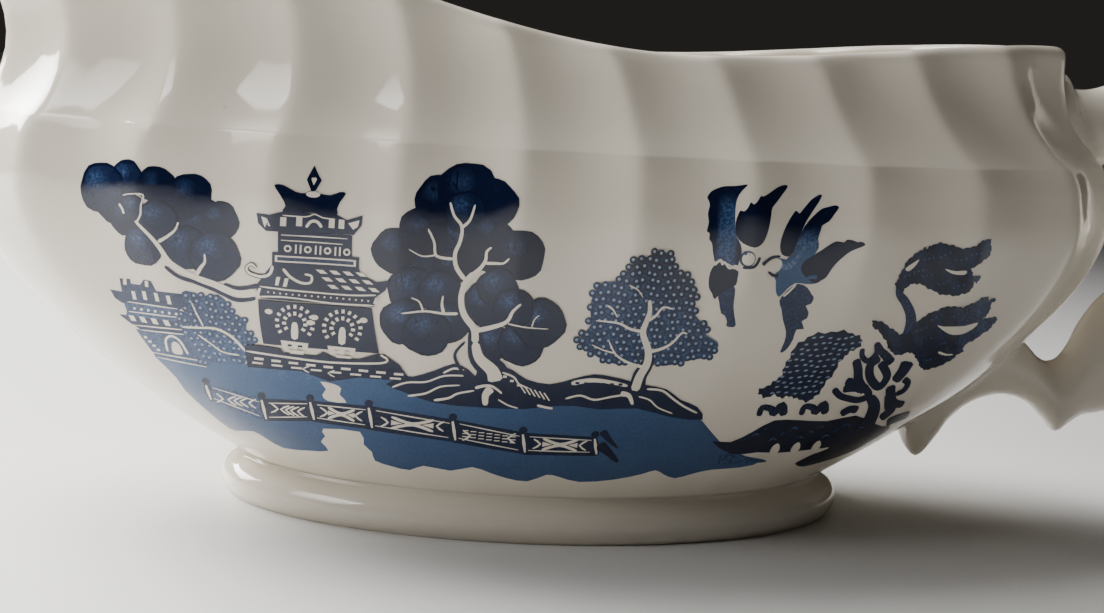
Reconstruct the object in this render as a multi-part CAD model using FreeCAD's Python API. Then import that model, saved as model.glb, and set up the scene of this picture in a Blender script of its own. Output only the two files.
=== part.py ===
"""Fluted sauce boat of glazed earthenware: a cast bowl, its foot ring and a handle luted to its end.

Millimetres. +X points from the pouring spout to the handle and +Z points up. The origin lies on the
surface that the boat stands on, under the middle of its length. Each clay part is one solid.
"""
import os
from math import cos, hypot, pi, sin

import FreeCAD
import Part

Vector = FreeCAD.Vector

# Place of the oval body in the part's frame: its middle lies towards the spout from the origin.
BODY_X = -8.05

# Foot ring
FOOT_HEIGHT = 6.4
FOOT_BULGE = (49.3, 29.5)
FOOT_UNDERCUT = 1.3
FOOT_SOLE = 2.6
FOOT_INNER_HALF = 42.0
# Profile of the ring: step outwards from the named half-length, and height
FOOT_SIDE = ((0.0, FOOT_HEIGHT), (0.1, 5.9), (0.9, 4.9))
FOOT_ROUND = ((-0.7, 3.0), (0.3, 1.6), (-0.1, 0.4))
FOOT_INSIDE = ((0.0, FOOT_HEIGHT), (0.0, 5.2), (1.0, 2.8))
FOOT_SOLE_ROUND = (-0.7, 0.6)

# Belly, from the waist over the foot to the shoulder. Pairs are half-length and half-width.
WAIST = (46.0, 26.2)
BELLY = (90.2, 42.9)
BELLY_Z = 50.0
BELLY_FULLNESS = 1.72
SHOULDER = (87.6, 41.6)
SHOULDER_Z = 57.5
BELLY_ROWS_Z = (FOOT_HEIGHT, 7.0, 8.8, 12.5, 18.5, 26.0, 34.5, 43.0, BELLY_Z, 54.5, 56.7, 57.4)

# Neck and rim
NECK = (80.9, 35.6)
NECK_X = -0.6
NECK_HEIGHT = 15.0
NECK_HOLLOW = 2.2
RIM_LOW_Z = 71.1
RIM_LOW_X = 14.0
HANDLE_RISE = 4.6
HANDLE_RISE_RUN = 66.0
SPOUT_RISE = 24.0
SPOUT_RISE_RUN = 112.0
SPOUT_REACH = 17.5
SPOUT_SLIMNESS = 6
SPOUT_GATHER = 0.56
SPOUT_SMOOTHING = 0.85
RIM_SWEEP = 2.8
END_SWEEP = 1.0
END_SWEEP_POWER = 12
NECK_ROWS = (0.02, 0.08, 0.2, 0.36, 0.54, 0.72, 0.88)

# Flutes round the body: hollows between soft upright ridges
FLUTES = 24
FLUTE_DEPTH = 1.7
FLUTE_SOFTNESS = 0.16
FLUTE_FADE_Z = 24.0
FLUTE_CROWD = 0.20
FLUTE_CROWD_ENDS = 0.02

# Wall: the inside follows the flutes at part of their depth. The lip's rows are pairs of the place
# across the wall and the fall from the rim. The floor's rows are pairs of inset and height.
WALL = 3.8
INNER_FLUTING = 0.5
LIP_ROWS = ((0.0, 1.6), (0.06, 0.5), (0.5, -0.25), (0.94, 0.5), (1.0, 1.6))
INNER_NECK_ROWS = (0.84, 0.66, 0.46, 0.26, 0.1)
INNER_BELLY_ROWS_Z = (56.0, 50.0, 43.0, 35.0, 27.0, 21.0, 16.5)
FLOOR_Z = 10.8
FLOOR_EDGE_Z = 14.0
FLOOR_ROWS = ((7.0, 12.0), (11.0, FLOOR_Z), (15.0, FLOOR_Z))

# Filled body that the handle is cut with: it closes over the rim in rows of oval share and height
LID_FALL = 0.4
LID_ROWS = ((0.9, 77.0), (0.6, 80.0), (0.3, 80.0))

# Handle: outer and inner edge of the loop in the middle plane, from the neck round to the belly.
# Each line is one station: outer x, outer z, inner x, inner z, half-width. X is from the body's middle.
HANDLE_STATIONS = (
    (72.0, 69.4, 72.0, 57.2, 6.8),
    (78.0, 69.6, 78.0, 56.8, 6.8),
    (82.4, 69.4, 82.4, 56.4, 6.2),
    (85.6, 69.4, 86.2, 56.8, 5.3),
    (89.6, 70.6, 89.8, 58.0, 4.9),
    (95.4, 73.2, 93.4, 59.6, 4.8),
    (101.6, 74.6, 97.2, 60.0, 4.9),
    (107.8, 71.6, 100.4, 58.0, 5.0),
    (112.4, 65.0, 102.2, 53.6, 5.0),
    (114.4, 56.0, 102.0, 48.4, 4.9),
    (114.0, 46.5, 100.0, 43.8, 4.9),
    (111.2, 37.0, 97.0, 40.6, 4.9),
    (106.6, 28.4, 93.8, 38.0, 4.9),
    (100.8, 21.4, 90.8, 35.2, 4.9),
    (94.8, 17.4, 88.6, 31.6, 4.9),
    (90.0, 16.2, 87.4, 28.2, 4.9),
    (87.6, 14.6, 85.8, 25.8, 4.9),
    (85.8, 13.4, 83.6, 25.0, 4.9),
    (84.0, 15.2, 81.4, 26.0, 4.9),
    (80.4, 18.2, 78.8, 28.4, 4.9),
    (75.8, 19.2, 75.4, 29.8, 4.9),
    (70.8, 17.6, 71.2, 28.8, 4.8),
    (67.2, 14.4, 67.8, 26.8, 4.7),
    (65.2, 11.2, 65.4, 24.8, 4.6),
    (62.8, 8.4, 63.2, 23.0, 4.4),
    (60.6, 10.6, 61.0, 21.6, 4.2),
    (59.6, 14.0, 59.8, 20.4, 3.8),
)
SECTION_POLES = 12
# A pole of the smooth skin lies this share of the bend outside the station that the skin passes
SKIN_PULL = 1.0 / 6.0

# Poles of the clay skins
POLES_PER_FLUTE = 6
POLES_ROUND = FLUTES * POLES_PER_FLUTE
RING_POLES = 48
FLAT = 1e-6
DEGREE = 3


def smoothstep(value):
    """Soft step from 0 to 1."""
    value = min(1.0, max(0.0, value))
    return value * value * (3.0 - 2.0 * value)


def mix(start, end, share):
    return start + (end - start) * share


def plan_angle(flute):
    """Angle round the oval at a place counted in flutes from the handle: flutes crowd along the sides."""
    turn = 2.0 * pi * flute / FLUTES
    return turn + FLUTE_CROWD * sin(2.0 * turn) + FLUTE_CROWD_ENDS * sin(4.0 * turn)


def hollow(flute):
    """Depth of the fluting from 0 on a ridge to 1 in the middle of a flute."""
    sweep = abs(cos(pi * flute))
    return (hypot(sweep, FLUTE_SOFTNESS) - FLUTE_SOFTNESS) / (hypot(1.0, FLUTE_SOFTNESS) - FLUTE_SOFTNESS)


def oval_point(half, angle, inset, shift=0.0):
    """Point of an oval, moved inwards along the oval's normal."""
    length, width = half
    normal = Vector(width * cos(angle), length * sin(angle), 0.0)
    normal.normalize()
    return Vector(shift + length * cos(angle), width * sin(angle), 0.0) - normal * inset


def belly_half(z):
    """Half-length and half-width of the belly at a height."""
    if z > BELLY_Z:
        share = ((z - BELLY_Z) / (SHOULDER_Z - BELLY_Z)) ** 2
        return tuple(mix(a, b, share) for a, b in zip(BELLY, SHOULDER))
    share = 1.0 - (1.0 - (z - FOOT_HEIGHT) / (BELLY_Z - FOOT_HEIGHT)) ** BELLY_FULLNESS
    return tuple(mix(a, b, share) for a, b in zip(WAIST, BELLY))


def spout_share(angle):
    """1 at the tip of the spout, fading along the sides."""
    return ((1.0 - cos(angle)) / 2.0) ** SPOUT_SLIMNESS


def rim_z(x):
    """Height of the rim: lowest past the middle, a little higher at the handle, high at the spout."""
    handle = HANDLE_RISE * smoothstep((x - RIM_LOW_X) / HANDLE_RISE_RUN)
    spout = SPOUT_RISE * smoothstep((RIM_LOW_X - x) / SPOUT_RISE_RUN)
    return RIM_LOW_Z + handle + spout


def belly_point(z, flute, inset=0.0, fluting=1.0):
    """Point of the belly's outside, or of its inside when it is inset by the wall."""
    depth = fluting * FLUTE_DEPTH * smoothstep((z - FLUTE_FADE_Z) / (SHOULDER_Z - FLUTE_FADE_Z))
    point = oval_point(belly_half(z), plan_angle(flute), inset + depth * hollow(flute))
    return Vector(point.x, point.y, z)


def neck_point(share, flute, inset=0.0, rise=0.0, fluting=1.0):
    """Point of the neck: share is 0 on the shoulder and 1 on the rim. Ridges lean to the spout as they rise."""
    turn = 2.0 * pi * flute / FLUTES
    lean = END_SWEEP * sin(turn) * ((1.0 + cos(turn)) / 2.0) ** END_SWEEP_POWER
    angle = plan_angle(flute + lean * share)
    spout = spout_share(angle)
    reach = RIM_SWEEP * sin(angle) ** 2 + SPOUT_REACH * spout
    height = rim_z(NECK_X + NECK[0] * cos(angle) - reach) - SHOULDER_Z
    drawn = 1.0 - (1.0 - min(1.0, share * height / NECK_HEIGHT)) ** NECK_HOLLOW
    half = tuple(mix(a, b, drawn) for a, b in zip(SHOULDER, NECK))
    depth = fluting * FLUTE_DEPTH * (1.0 - SPOUT_SMOOTHING * spout * share)
    point = oval_point(half, angle, inset + depth * hollow(flute), NECK_X * drawn)
    pull = share ** NECK_HOLLOW
    gather = 1.0 - SPOUT_GATHER * pull * spout * (1.0 - spout / 2.0)
    return Vector(point.x - reach * pull, point.y * gather, SHOULDER_Z + share * height + rise)


def skin(rows, columns):
    """Smooth surface, closed round its rows and open at its first and last row."""
    poles = [[rows[i][j] for i in range(len(rows))] for j in range(columns)]
    surface = Part.BSplineSurface()
    spans = len(rows) - DEGREE
    surface.buildFromPolesMultsKnots(
        poles,
        [1] * (columns + 1), [DEGREE + 1] + [1] * (spans - 1) + [DEGREE + 1],
        [float(k) for k in range(columns + 1)], [float(k) for k in range(spans + 1)],
        True, False, DEGREE, DEGREE,
    )
    return surface.toShape()


def close_skin(face, caps):
    """Solid from a skin and its flat caps."""
    shell = Part.makeShell(face.Faces + caps)
    shell.sewShape()
    solid = Part.makeSolid(shell.Shells[0])
    if solid.Volume < 0.0:
        solid.reverse()
    return solid


def end_caps(face):
    """Flat faces across the two open ends of a skin."""
    ends = [edge for edge in face.Edges if edge.isClosed() and len(edge.Vertexes) == 1]
    flat = [edge for edge in ends if abs(edge.BoundBox.ZLength) < FLAT]
    return [Part.Face(Part.Wire([edge])) for edge in flat]


def fluted_row(point_at):
    return [point_at(j / POLES_PER_FLUTE) for j in range(POLES_ROUND)]


def outer_rows():
    """Rows of the outer wall from the waist to just under the rim."""
    rows = []
    for z in BELLY_ROWS_Z:
        rows.append(fluted_row(lambda flute, z=z: belly_point(z, flute)))
    for share in NECK_ROWS:
        rows.append(fluted_row(lambda flute, share=share: neck_point(share, flute)))
    return rows


def lip_rows():
    """Rounded lip from the outside to the inside of the wall."""
    rows = []
    for across, fall in LIP_ROWS:
        fluting = mix(1.0, INNER_FLUTING, across)
        rows.append(fluted_row(
            lambda flute, a=across, f=fall, d=fluting: neck_point(1.0, flute, a * WALL, -f, d)))
    return rows


def inner_rows():
    """Rows of the inner wall from the rim down to the flat of the floor."""
    rows = []
    for share in INNER_NECK_ROWS:
        rows.append(fluted_row(
            lambda flute, share=share: neck_point(share, flute, WALL, 0.0, INNER_FLUTING)))
    for z in INNER_BELLY_ROWS_Z:
        rows.append(fluted_row(lambda flute, z=z: belly_point(z, flute, WALL, INNER_FLUTING)))
    edge = belly_half(FLOOR_EDGE_Z)
    for inset, z in FLOOR_ROWS:
        rows.append(fluted_row(
            lambda flute, inset=inset, z=z: oval_point(edge, plan_angle(flute), inset)
            + Vector(0.0, 0.0, z)))
    return rows


def lid_rows():
    """Rows that close the body over its rim, for cutting what is fixed to its outside."""
    rows = [fluted_row(lambda flute: neck_point(1.0, flute, 0.0, -LID_FALL))]
    for share, z in LID_ROWS:
        half = (NECK[0] * share, NECK[1] * share)
        rows.append(fluted_row(
            lambda flute, half=half, z=z: oval_point(half, plan_angle(flute), 0.0) + Vector(0.0, 0.0, z)))
    return rows


def make_bowl():
    face = skin(outer_rows() + lip_rows() + inner_rows(), POLES_ROUND)
    return close_skin(face, end_caps(face))


def make_envelope():
    """The body with its inside filled."""
    face = skin(outer_rows() + lid_rows(), POLES_ROUND)
    return close_skin(face, end_caps(face))


def ring_skin(profile):
    """Upright oval skin through pairs of half-length and height."""
    rows = []
    for length, z in profile:
        half = (length, length - FOOT_BULGE[0] + FOOT_BULGE[1])
        rows.append([
            oval_point(half, 2.0 * pi * j / RING_POLES, 0.0) + Vector(0.0, 0.0, z)
            for j in range(RING_POLES)])
    return skin(rows, RING_POLES)


def flat_edges(face):
    """The lower and the upper flat edge of a ring skin."""
    edges = [edge for edge in face.Edges if edge.isClosed() and abs(edge.BoundBox.ZLength) < FLAT]
    return sorted(edges, key=lambda edge: edge.BoundBox.ZMin)


def make_foot_ring():
    """Ring under the waist: flat on top, with a flared side, a rounded bulge and a flat sole."""
    sole_outer = FOOT_BULGE[0] - FOOT_UNDERCUT
    sole_inner = sole_outer - FOOT_SOLE
    outline = [(WAIST[0] + step, z) for step, z in FOOT_SIDE]
    outline += [(FOOT_BULGE[0] + step, z) for step, z in FOOT_ROUND]
    outside = ring_skin(outline + [(sole_outer, 0.0)])
    step, z = FOOT_SOLE_ROUND
    outline = [(FOOT_INNER_HALF + out, height) for out, height in FOOT_INSIDE]
    inside = ring_skin(outline + [(sole_inner + step, z), (sole_inner, 0.0)])
    flats = [
        Part.makeFace([Part.Wire([outer]), Part.Wire([inner])], "Part::FaceMakerBullseye")
        for outer, inner in zip(flat_edges(outside), flat_edges(inside))]
    return close_skin(outside, inside.Faces + flats)


def sharpened(stations):
    """Stations moved away from their neighbours' mean, so that the smooth skin passes through them."""
    moved = [stations[0]]
    for before, here, after in zip(stations, stations[1:], stations[2:]):
        moved.append(tuple(h + (2.0 * h - b - a) * SKIN_PULL for b, h, a in zip(before, here, after)))
    return moved + [stations[-1]]


def make_handle(envelope):
    """Loop of oval section with two cusps under its lower arm, cut where it is luted to the body."""
    swell = 3.0 / (2.0 + cos(2.0 * pi / SECTION_POLES))
    rows = []
    for outer_x, outer_z, inner_x, inner_z, half_width in sharpened(HANDLE_STATIONS):
        middle = Vector((outer_x + inner_x) / 2.0, 0.0, (outer_z + inner_z) / 2.0)
        reach = Vector(outer_x, 0.0, outer_z) - middle
        row = []
        for j in range(SECTION_POLES):
            angle = 2.0 * pi * j / SECTION_POLES
            side = Vector(0.0, half_width * sin(angle) * swell, 0.0)
            row.append(middle + reach * (cos(angle) * swell) + side)
        rows.append(row)
    face = skin(rows, SECTION_POLES)
    ends = [edge for edge in face.Edges if edge.isClosed() and len(edge.Vertexes) == 1]
    ends.sort(key=lambda edge: edge.Length)
    caps = [Part.Face(Part.Wire([edge])) for edge in ends[:2]]
    loop = close_skin(face, caps)
    pieces = loop.cut(envelope).Solids
    return max(pieces, key=lambda piece: piece.Volume)


def main():
    os.makedirs("parts", exist_ok=True)
    envelope = make_envelope()
    parts = {
        "bowl": make_bowl(),
        "foot_ring": make_foot_ring(),
        "handle": make_handle(envelope),
    }
    whole = FreeCAD.BoundBox()
    for name, shape in parts.items():
        shape.translate(Vector(BODY_X, 0.0, 0.0))
        box = shape.optimalBoundingBox()
        whole.add(box)
        print(name, shape.ShapeType, shape.isValid(), round(shape.Volume), box)
        shape.exportStep("parts/" + name + ".step")
    print("whole", whole)


main()
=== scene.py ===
"""Fluted gravy boat of glazed earthenware with a blue printed garden scene on both sides."""

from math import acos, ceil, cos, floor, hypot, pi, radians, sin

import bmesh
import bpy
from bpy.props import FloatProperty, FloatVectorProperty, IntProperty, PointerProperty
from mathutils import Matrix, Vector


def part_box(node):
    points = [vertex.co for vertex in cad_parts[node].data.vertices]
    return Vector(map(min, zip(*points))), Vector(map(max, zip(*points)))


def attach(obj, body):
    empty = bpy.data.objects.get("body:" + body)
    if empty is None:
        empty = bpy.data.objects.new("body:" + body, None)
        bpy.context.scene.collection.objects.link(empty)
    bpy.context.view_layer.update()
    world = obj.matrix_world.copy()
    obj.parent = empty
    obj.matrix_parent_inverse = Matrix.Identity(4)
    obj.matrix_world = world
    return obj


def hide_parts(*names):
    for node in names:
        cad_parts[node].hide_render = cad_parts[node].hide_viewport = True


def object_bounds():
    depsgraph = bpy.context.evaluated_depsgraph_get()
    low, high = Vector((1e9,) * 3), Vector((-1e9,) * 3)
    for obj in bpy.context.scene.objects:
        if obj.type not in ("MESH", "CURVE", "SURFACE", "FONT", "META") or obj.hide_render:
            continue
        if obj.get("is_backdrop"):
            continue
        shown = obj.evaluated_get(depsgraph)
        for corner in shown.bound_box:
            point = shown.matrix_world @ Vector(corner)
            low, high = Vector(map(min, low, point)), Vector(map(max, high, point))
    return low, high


bl_info = {
    "name": "Fluted gravy boat",
    "version": (1, 0, 0),
    "blender": (4, 5, 0),
    "location": "View3D > Sidebar > Gravy Boat",
    "description": "Builds a glazed earthenware gravy boat with a blue printed garden scene",
    "category": "Add Mesh",
}

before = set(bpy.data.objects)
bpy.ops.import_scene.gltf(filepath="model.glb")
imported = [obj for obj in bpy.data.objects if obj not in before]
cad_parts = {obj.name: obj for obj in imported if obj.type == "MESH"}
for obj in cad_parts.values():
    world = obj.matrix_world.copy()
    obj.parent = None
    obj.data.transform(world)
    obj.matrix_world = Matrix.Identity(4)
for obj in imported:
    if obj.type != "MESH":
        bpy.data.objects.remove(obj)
CAD_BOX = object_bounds()
FOOT_LOW, FOOT_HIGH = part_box("foot_ring")

MM = 0.001
# Points nearer than this are one.
TOUCHING = 1e-7
BODY = "root"
# The oval body is centred over its foot ring.
BODY_X = (FOOT_LOW.x + FOOT_HIGH.x) / 2


# ---------------------------------------------------------------- settings

class BodySizes(bpy.types.PropertyGroup):
    """Sizes of the cast body, measured from the middle of its oval."""
    waist_length: FloatProperty(
        name="Waist half-length", description="Half-length where the body meets the foot ring",
        default=0.0460, unit="LENGTH")
    waist_width: FloatProperty(
        name="Waist half-width", description="Half-width where the body meets the foot ring",
        default=0.0262, unit="LENGTH")
    belly_length: FloatProperty(
        name="Belly half-length", description="Half-length at the fullest height", default=0.0902,
        unit="LENGTH")
    belly_width: FloatProperty(
        name="Belly half-width", description="Half-width at the fullest height", default=0.0429,
        unit="LENGTH")
    belly_height: FloatProperty(
        name="Belly height", description="Height of the fullest part", default=0.050, unit="LENGTH")
    belly_fullness: FloatProperty(
        name="Belly fullness", description="How round the belly is between waist and fullest height",
        default=1.72)
    belly_soften: FloatProperty(
        name="Belly softening", description="Height over which the fullest part turns softly",
        default=0.005, unit="LENGTH")
    shoulder_length: FloatProperty(
        name="Shoulder half-length", description="Half-length at the shoulder", default=0.0876, unit="LENGTH")
    shoulder_width: FloatProperty(
        name="Shoulder half-width", description="Half-width at the shoulder", default=0.0416, unit="LENGTH")
    shoulder_height: FloatProperty(
        name="Shoulder height", description="Height of the shoulder", default=0.0575, unit="LENGTH")
    neck_length: FloatProperty(
        name="Neck half-length", description="Half-length of the drawn-in neck", default=0.0809,
        unit="LENGTH")
    neck_width: FloatProperty(
        name="Neck half-width", description="Half-width of the drawn-in neck", default=0.0356, unit="LENGTH")
    neck_shift: FloatProperty(
        name="Neck shift", description="Place of the neck along the body", default=-0.0006, unit="LENGTH")
    neck_height: FloatProperty(
        name="Neck height", description="Height over which the neck draws in", default=0.015, unit="LENGTH")
    neck_hollow: FloatProperty(
        name="Neck hollow", description="How hollow the neck's outline is", default=2.2)
    rim_height: FloatProperty(
        name="Rim height", description="Height of the rim at its lowest", default=0.0711, unit="LENGTH")
    rim_low_place: FloatProperty(
        name="Rim low place", description="Place along the body where the rim is lowest",
        default=0.014, unit="LENGTH")
    handle_rise: FloatProperty(
        name="Rise to the handle", description="How much the rim rises to the handle end",
        default=0.0046, unit="LENGTH")
    handle_rise_run: FloatProperty(
        name="Run to the handle", description="Length over which the rim rises to the handle",
        default=0.066, unit="LENGTH")
    spout_rise: FloatProperty(
        name="Rise to the spout", description="How much the rim rises to the spout", default=0.024,
        unit="LENGTH")
    spout_rise_run: FloatProperty(
        name="Run to the spout", description="Length over which the rim rises to the spout",
        default=0.112, unit="LENGTH")
    spout_reach: FloatProperty(
        name="Spout reach", description="How far the spout reaches out", default=0.0175, unit="LENGTH")
    spout_gather: FloatProperty(
        name="Spout gather", description="How much the rim narrows into the spout", default=0.14)
    spout_smoothing: FloatProperty(
        name="Spout smoothing", description="How much of the fluting fades in the spout", default=0.85)
    rim_sweep: FloatProperty(
        name="Rim sweep", description="How far the rim's sides sweep towards the spout",
        default=0.0028, unit="LENGTH")
    end_sweep: FloatProperty(
        name="End sweep", description="How many flutes the ridges lean by the handle", default=1.0)
    end_sweep_power: FloatProperty(
        name="End sweep power", description="How near to the handle the lean stays", default=12)
    wall: FloatProperty(
        name="Wall", description="Thickness of the wall", default=0.0038, unit="LENGTH")
    floor_height: FloatProperty(
        name="Floor height", description="Height of the inside floor", default=0.0108, unit="LENGTH")
    lip_crown: FloatProperty(
        name="Lip crown", description="Height of the lip's rounding", default=0.0015, unit="LENGTH")
    inner_fluting: FloatProperty(
        name="Inner fluting", description="Depth of the fluting inside, as a share of the outside's",
        default=0.5)
    flutes: IntProperty(name="Flutes", description="Number of flutes round the body", default=24)
    flute_depth: FloatProperty(
        name="Flute depth", description="Depth of a flute at the shoulder", default=0.0017, unit="LENGTH")
    flute_softness: FloatProperty(
        name="Flute softness", description="How rounded the ridges are", default=0.16)
    flute_fade: FloatProperty(
        name="Flute fade", description="Height at which the flutes have faded out", default=0.024,
        unit="LENGTH")
    flute_crowd: FloatProperty(
        name="Flute crowding", description="How much the flutes crowd along the sides", default=0.20)
    flute_crowd_ends: FloatProperty(
        name="Flute crowding at the ends", description="How the crowding changes by the ends", default=0.02)
    columns_per_flute: IntProperty(
        name="Columns per flute", description="Mesh columns in one flute", default=20)


class FootSizes(bpy.types.PropertyGroup):
    """Sizes of the foot ring."""
    bulge_length: FloatProperty(
        name="Bulge half-length", description="Half-length of the rounded bulge", default=0.0493,
        unit="LENGTH")
    bulge_width: FloatProperty(
        name="Bulge half-width", description="Half-width of the rounded bulge", default=0.0295, unit="LENGTH")
    undercut: FloatProperty(
        name="Undercut", description="How far the sole lies inside the bulge", default=0.0013, unit="LENGTH")
    sole: FloatProperty(
        name="Sole", description="Width of the sole", default=0.0026, unit="LENGTH")
    inner_length: FloatProperty(
        name="Inner half-length", description="Half-length of the ring's inside at the top",
        default=0.0420, unit="LENGTH")
    columns: IntProperty(name="Columns", description="Mesh columns round the ring", default=288)


class HandleSizes(bpy.types.PropertyGroup):
    """Sizes of the handle's surface."""
    columns: IntProperty(name="Columns", description="Mesh columns round the handle", default=32)
    rows_per_station: IntProperty(
        name="Rows per station", description="Mesh rows between two stations", default=6)
    fillet: FloatProperty(
        name="Fillet", description="Radius of the smoothed clay where the handle is luted on",
        default=0.0022, unit="LENGTH")
    root_depth: FloatProperty(
        name="Root depth", description="How far the roots reach into the bowl's wall", default=0.0032,
        unit="LENGTH")


class Colours(bpy.types.PropertyGroup):
    """Colours of the clay, the glaze and the print."""
    ivory: FloatVectorProperty(
        name="Ivory", description="Colour of the glazed body", subtype="COLOR", size=4,
        default=(0.80, 0.735, 0.625, 1.0), min=0.0, max=1.0)
    ivory_deep: FloatVectorProperty(
        name="Deep ivory", description="Colour where the glaze lies thicker", subtype="COLOR", size=4,
        default=(0.70, 0.64, 0.54, 1.0), min=0.0, max=1.0)
    biscuit: FloatVectorProperty(
        name="Biscuit", description="Colour of the wiped sole", subtype="COLOR", size=4,
        default=(0.66, 0.55, 0.41, 1.0), min=0.0, max=1.0)
    ink_navy: FloatVectorProperty(
        name="Navy ink", description="Darkest tone of the print", subtype="COLOR", size=4,
        default=(0.004, 0.008, 0.030, 1.0), min=0.0, max=1.0)
    ink_slate: FloatVectorProperty(
        name="Slate ink", description="Middle tone of the print", subtype="COLOR", size=4,
        default=(0.022, 0.043, 0.110, 1.0), min=0.0, max=1.0)
    ink_wash: FloatVectorProperty(
        name="Wash ink", description="Light blue tone of the print", subtype="COLOR", size=4,
        default=(0.048, 0.105, 0.225, 1.0), min=0.0, max=1.0)
    ink_pale: FloatVectorProperty(
        name="Pale ink", description="Palest tone of the print", subtype="COLOR", size=4,
        default=(0.26, 0.34, 0.46, 1.0), min=0.0, max=1.0)
    floor: FloatVectorProperty(
        name="Floor", description="Colour of the floor", subtype="COLOR", size=4,
        default=(0.72, 0.715, 0.70, 1.0), min=0.0, max=1.0)


class StageSettings(bpy.types.PropertyGroup):
    """Lights and camera."""
    power: FloatProperty(
        name="Power", description="Factor on the power of every light", default=1.0)
    lens: FloatProperty(
        name="Lens", description="Focal length on a 36 mm sensor", default=54.15, unit="CAMERA")


SETTINGS = (
    ("gravy_body", BodySizes), ("gravy_foot", FootSizes), ("gravy_handle", HandleSizes),
    ("gravy_colours", Colours), ("gravy_stage", StageSettings),
)


# ---------------------------------------------------------------- the body's shape

def smoothstep(value):
    """Soft step from 0 to 1."""
    value = min(1.0, max(0.0, value))
    return value * value * (3 - 2 * value)


def mix(start, end, share):
    """The value a share of the way from start to end."""
    return start + (end - start) * share


def spaced(start, end, count):
    """Evenly spaced values from start to end, both included."""
    return [mix(start, end, k / (count - 1)) for k in range(count)]


class Hull:
    """The fluted oval body as formulas. A place round it is counted in flutes from the handle."""

    def __init__(self, sizes):
        for name in sizes.__annotations__:
            setattr(self, name, getattr(sizes, name))
        self.waist = (self.waist_length, self.waist_width)
        self.belly = (self.belly_length, self.belly_width)
        self.shoulder = (self.shoulder_length, self.shoulder_width)
        self.neck = (self.neck_length, self.neck_width)
        self.foot_height = FOOT_HIGH.z

    def plan_angle(self, flute):
        """Angle round the oval of a place counted in flutes, which crowd along the sides."""
        turn = 2 * pi * flute / self.flutes
        return turn + self.flute_crowd * sin(2 * turn) + self.flute_crowd_ends * sin(4 * turn)

    def hollow(self, flute):
        """Depth of the fluting from 0 on a ridge to 1 in the middle of a flute."""
        soft = self.flute_softness
        return (hypot(cos(pi * flute), soft) - soft) / (hypot(1, soft) - soft)

    def oval_point(self, half, angle, inset, z, shift=0.0):
        """Point of an upright oval, drawn in square to its edge."""
        length, width = half
        normal = Vector((width * cos(angle), length * sin(angle))).normalized()
        x = BODY_X + shift + length * cos(angle) - normal.x * inset
        return Vector((x, width * sin(angle) - normal.y * inset, z))

    def belly_half(self, z):
        """Half-length and half-width of the belly at a height, with a soft turn over its fullest part."""
        soft = self.belly_soften * smoothstep((z - self.flute_fade) / (self.belly_height - self.flute_fade))
        soft = min(soft, self.shoulder_height - z)
        if soft <= 0:
            return self.sharp_half(z)
        around = [self.sharp_half(z + soft * step) for step in spaced(-1, 1, 9)]
        return [sum(side) / len(around) for side in zip(*around)]

    def sharp_half(self, z):
        """Half-length and half-width of the belly at a height, without that soft turn."""
        if z > self.belly_height:
            share = ((z - self.belly_height) / (self.shoulder_height - self.belly_height)) ** 2
            return [mix(a, b, share) for a, b in zip(self.belly, self.shoulder)]
        rise = max(0.0, (z - self.foot_height) / (self.belly_height - self.foot_height))
        share = 1 - (1 - rise) ** self.belly_fullness
        return [mix(a, b, share) for a, b in zip(self.waist, self.belly)]

    def belly_point(self, z, flute, inset=0.0, fluting=1.0):
        """Point of the belly, between the foot and the shoulder."""
        fade = smoothstep((z - self.flute_fade) / (self.shoulder_height - self.flute_fade))
        inset += self.flute_depth * fluting * fade * self.hollow(flute)
        return self.oval_point(self.belly_half(z), self.plan_angle(flute), inset, z)

    def rim_z(self, x):
        """Height of the rim over a place along the body."""
        handle = self.handle_rise * smoothstep((x - self.rim_low_place) / self.handle_rise_run)
        spout = self.spout_rise * smoothstep((self.rim_low_place - x) / self.spout_rise_run)
        return self.rim_height + handle + spout

    def neck_point(self, share, flute, inset, rise, fluting):
        """Point of the neck: share is 0 on the shoulder and 1 on the rim."""
        turn = 2 * pi * flute / self.flutes
        lean = self.end_sweep * sin(turn) * ((1 + cos(turn)) / 2) ** self.end_sweep_power
        angle = self.plan_angle(flute + lean * share)
        spout = ((1 - cos(angle)) / 2) ** 6
        reach = self.rim_sweep * sin(angle) ** 2 + self.spout_reach * spout
        height = self.rim_z(self.neck_shift + self.neck_length * cos(angle) - reach) - self.shoulder_height
        drawn = 1 - (1 - min(1.0, share * height / self.neck_height)) ** self.neck_hollow
        half = [mix(a, b, drawn) for a, b in zip(self.shoulder, self.neck)]
        inset += self.flute_depth * fluting * (1 - self.spout_smoothing * spout * share) * self.hollow(flute)
        z = self.shoulder_height + share * height + rise
        point = self.oval_point(half, angle, inset, z, self.neck_shift * drawn)
        pull = share ** self.neck_hollow
        point.x -= reach * pull
        point.y *= 1 - self.spout_gather * pull * 4 * spout * (1 - 0.5 * spout)
        return point


# ---------------------------------------------------------------- mesh helpers

def finish_piece(name, bm, materials, replaced=()):
    """Makes a riding piece of the finished mesh."""
    mesh = bpy.data.meshes.new(name)
    bm.to_mesh(mesh)
    bm.free()
    for material in materials:
        mesh.materials.append(material)
    mesh.shade_smooth()
    piece = bpy.data.objects.new(name, mesh)
    bpy.context.scene.collection.objects.link(piece)
    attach(piece, BODY)
    if replaced:
        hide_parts(*replaced)
    return piece


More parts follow.
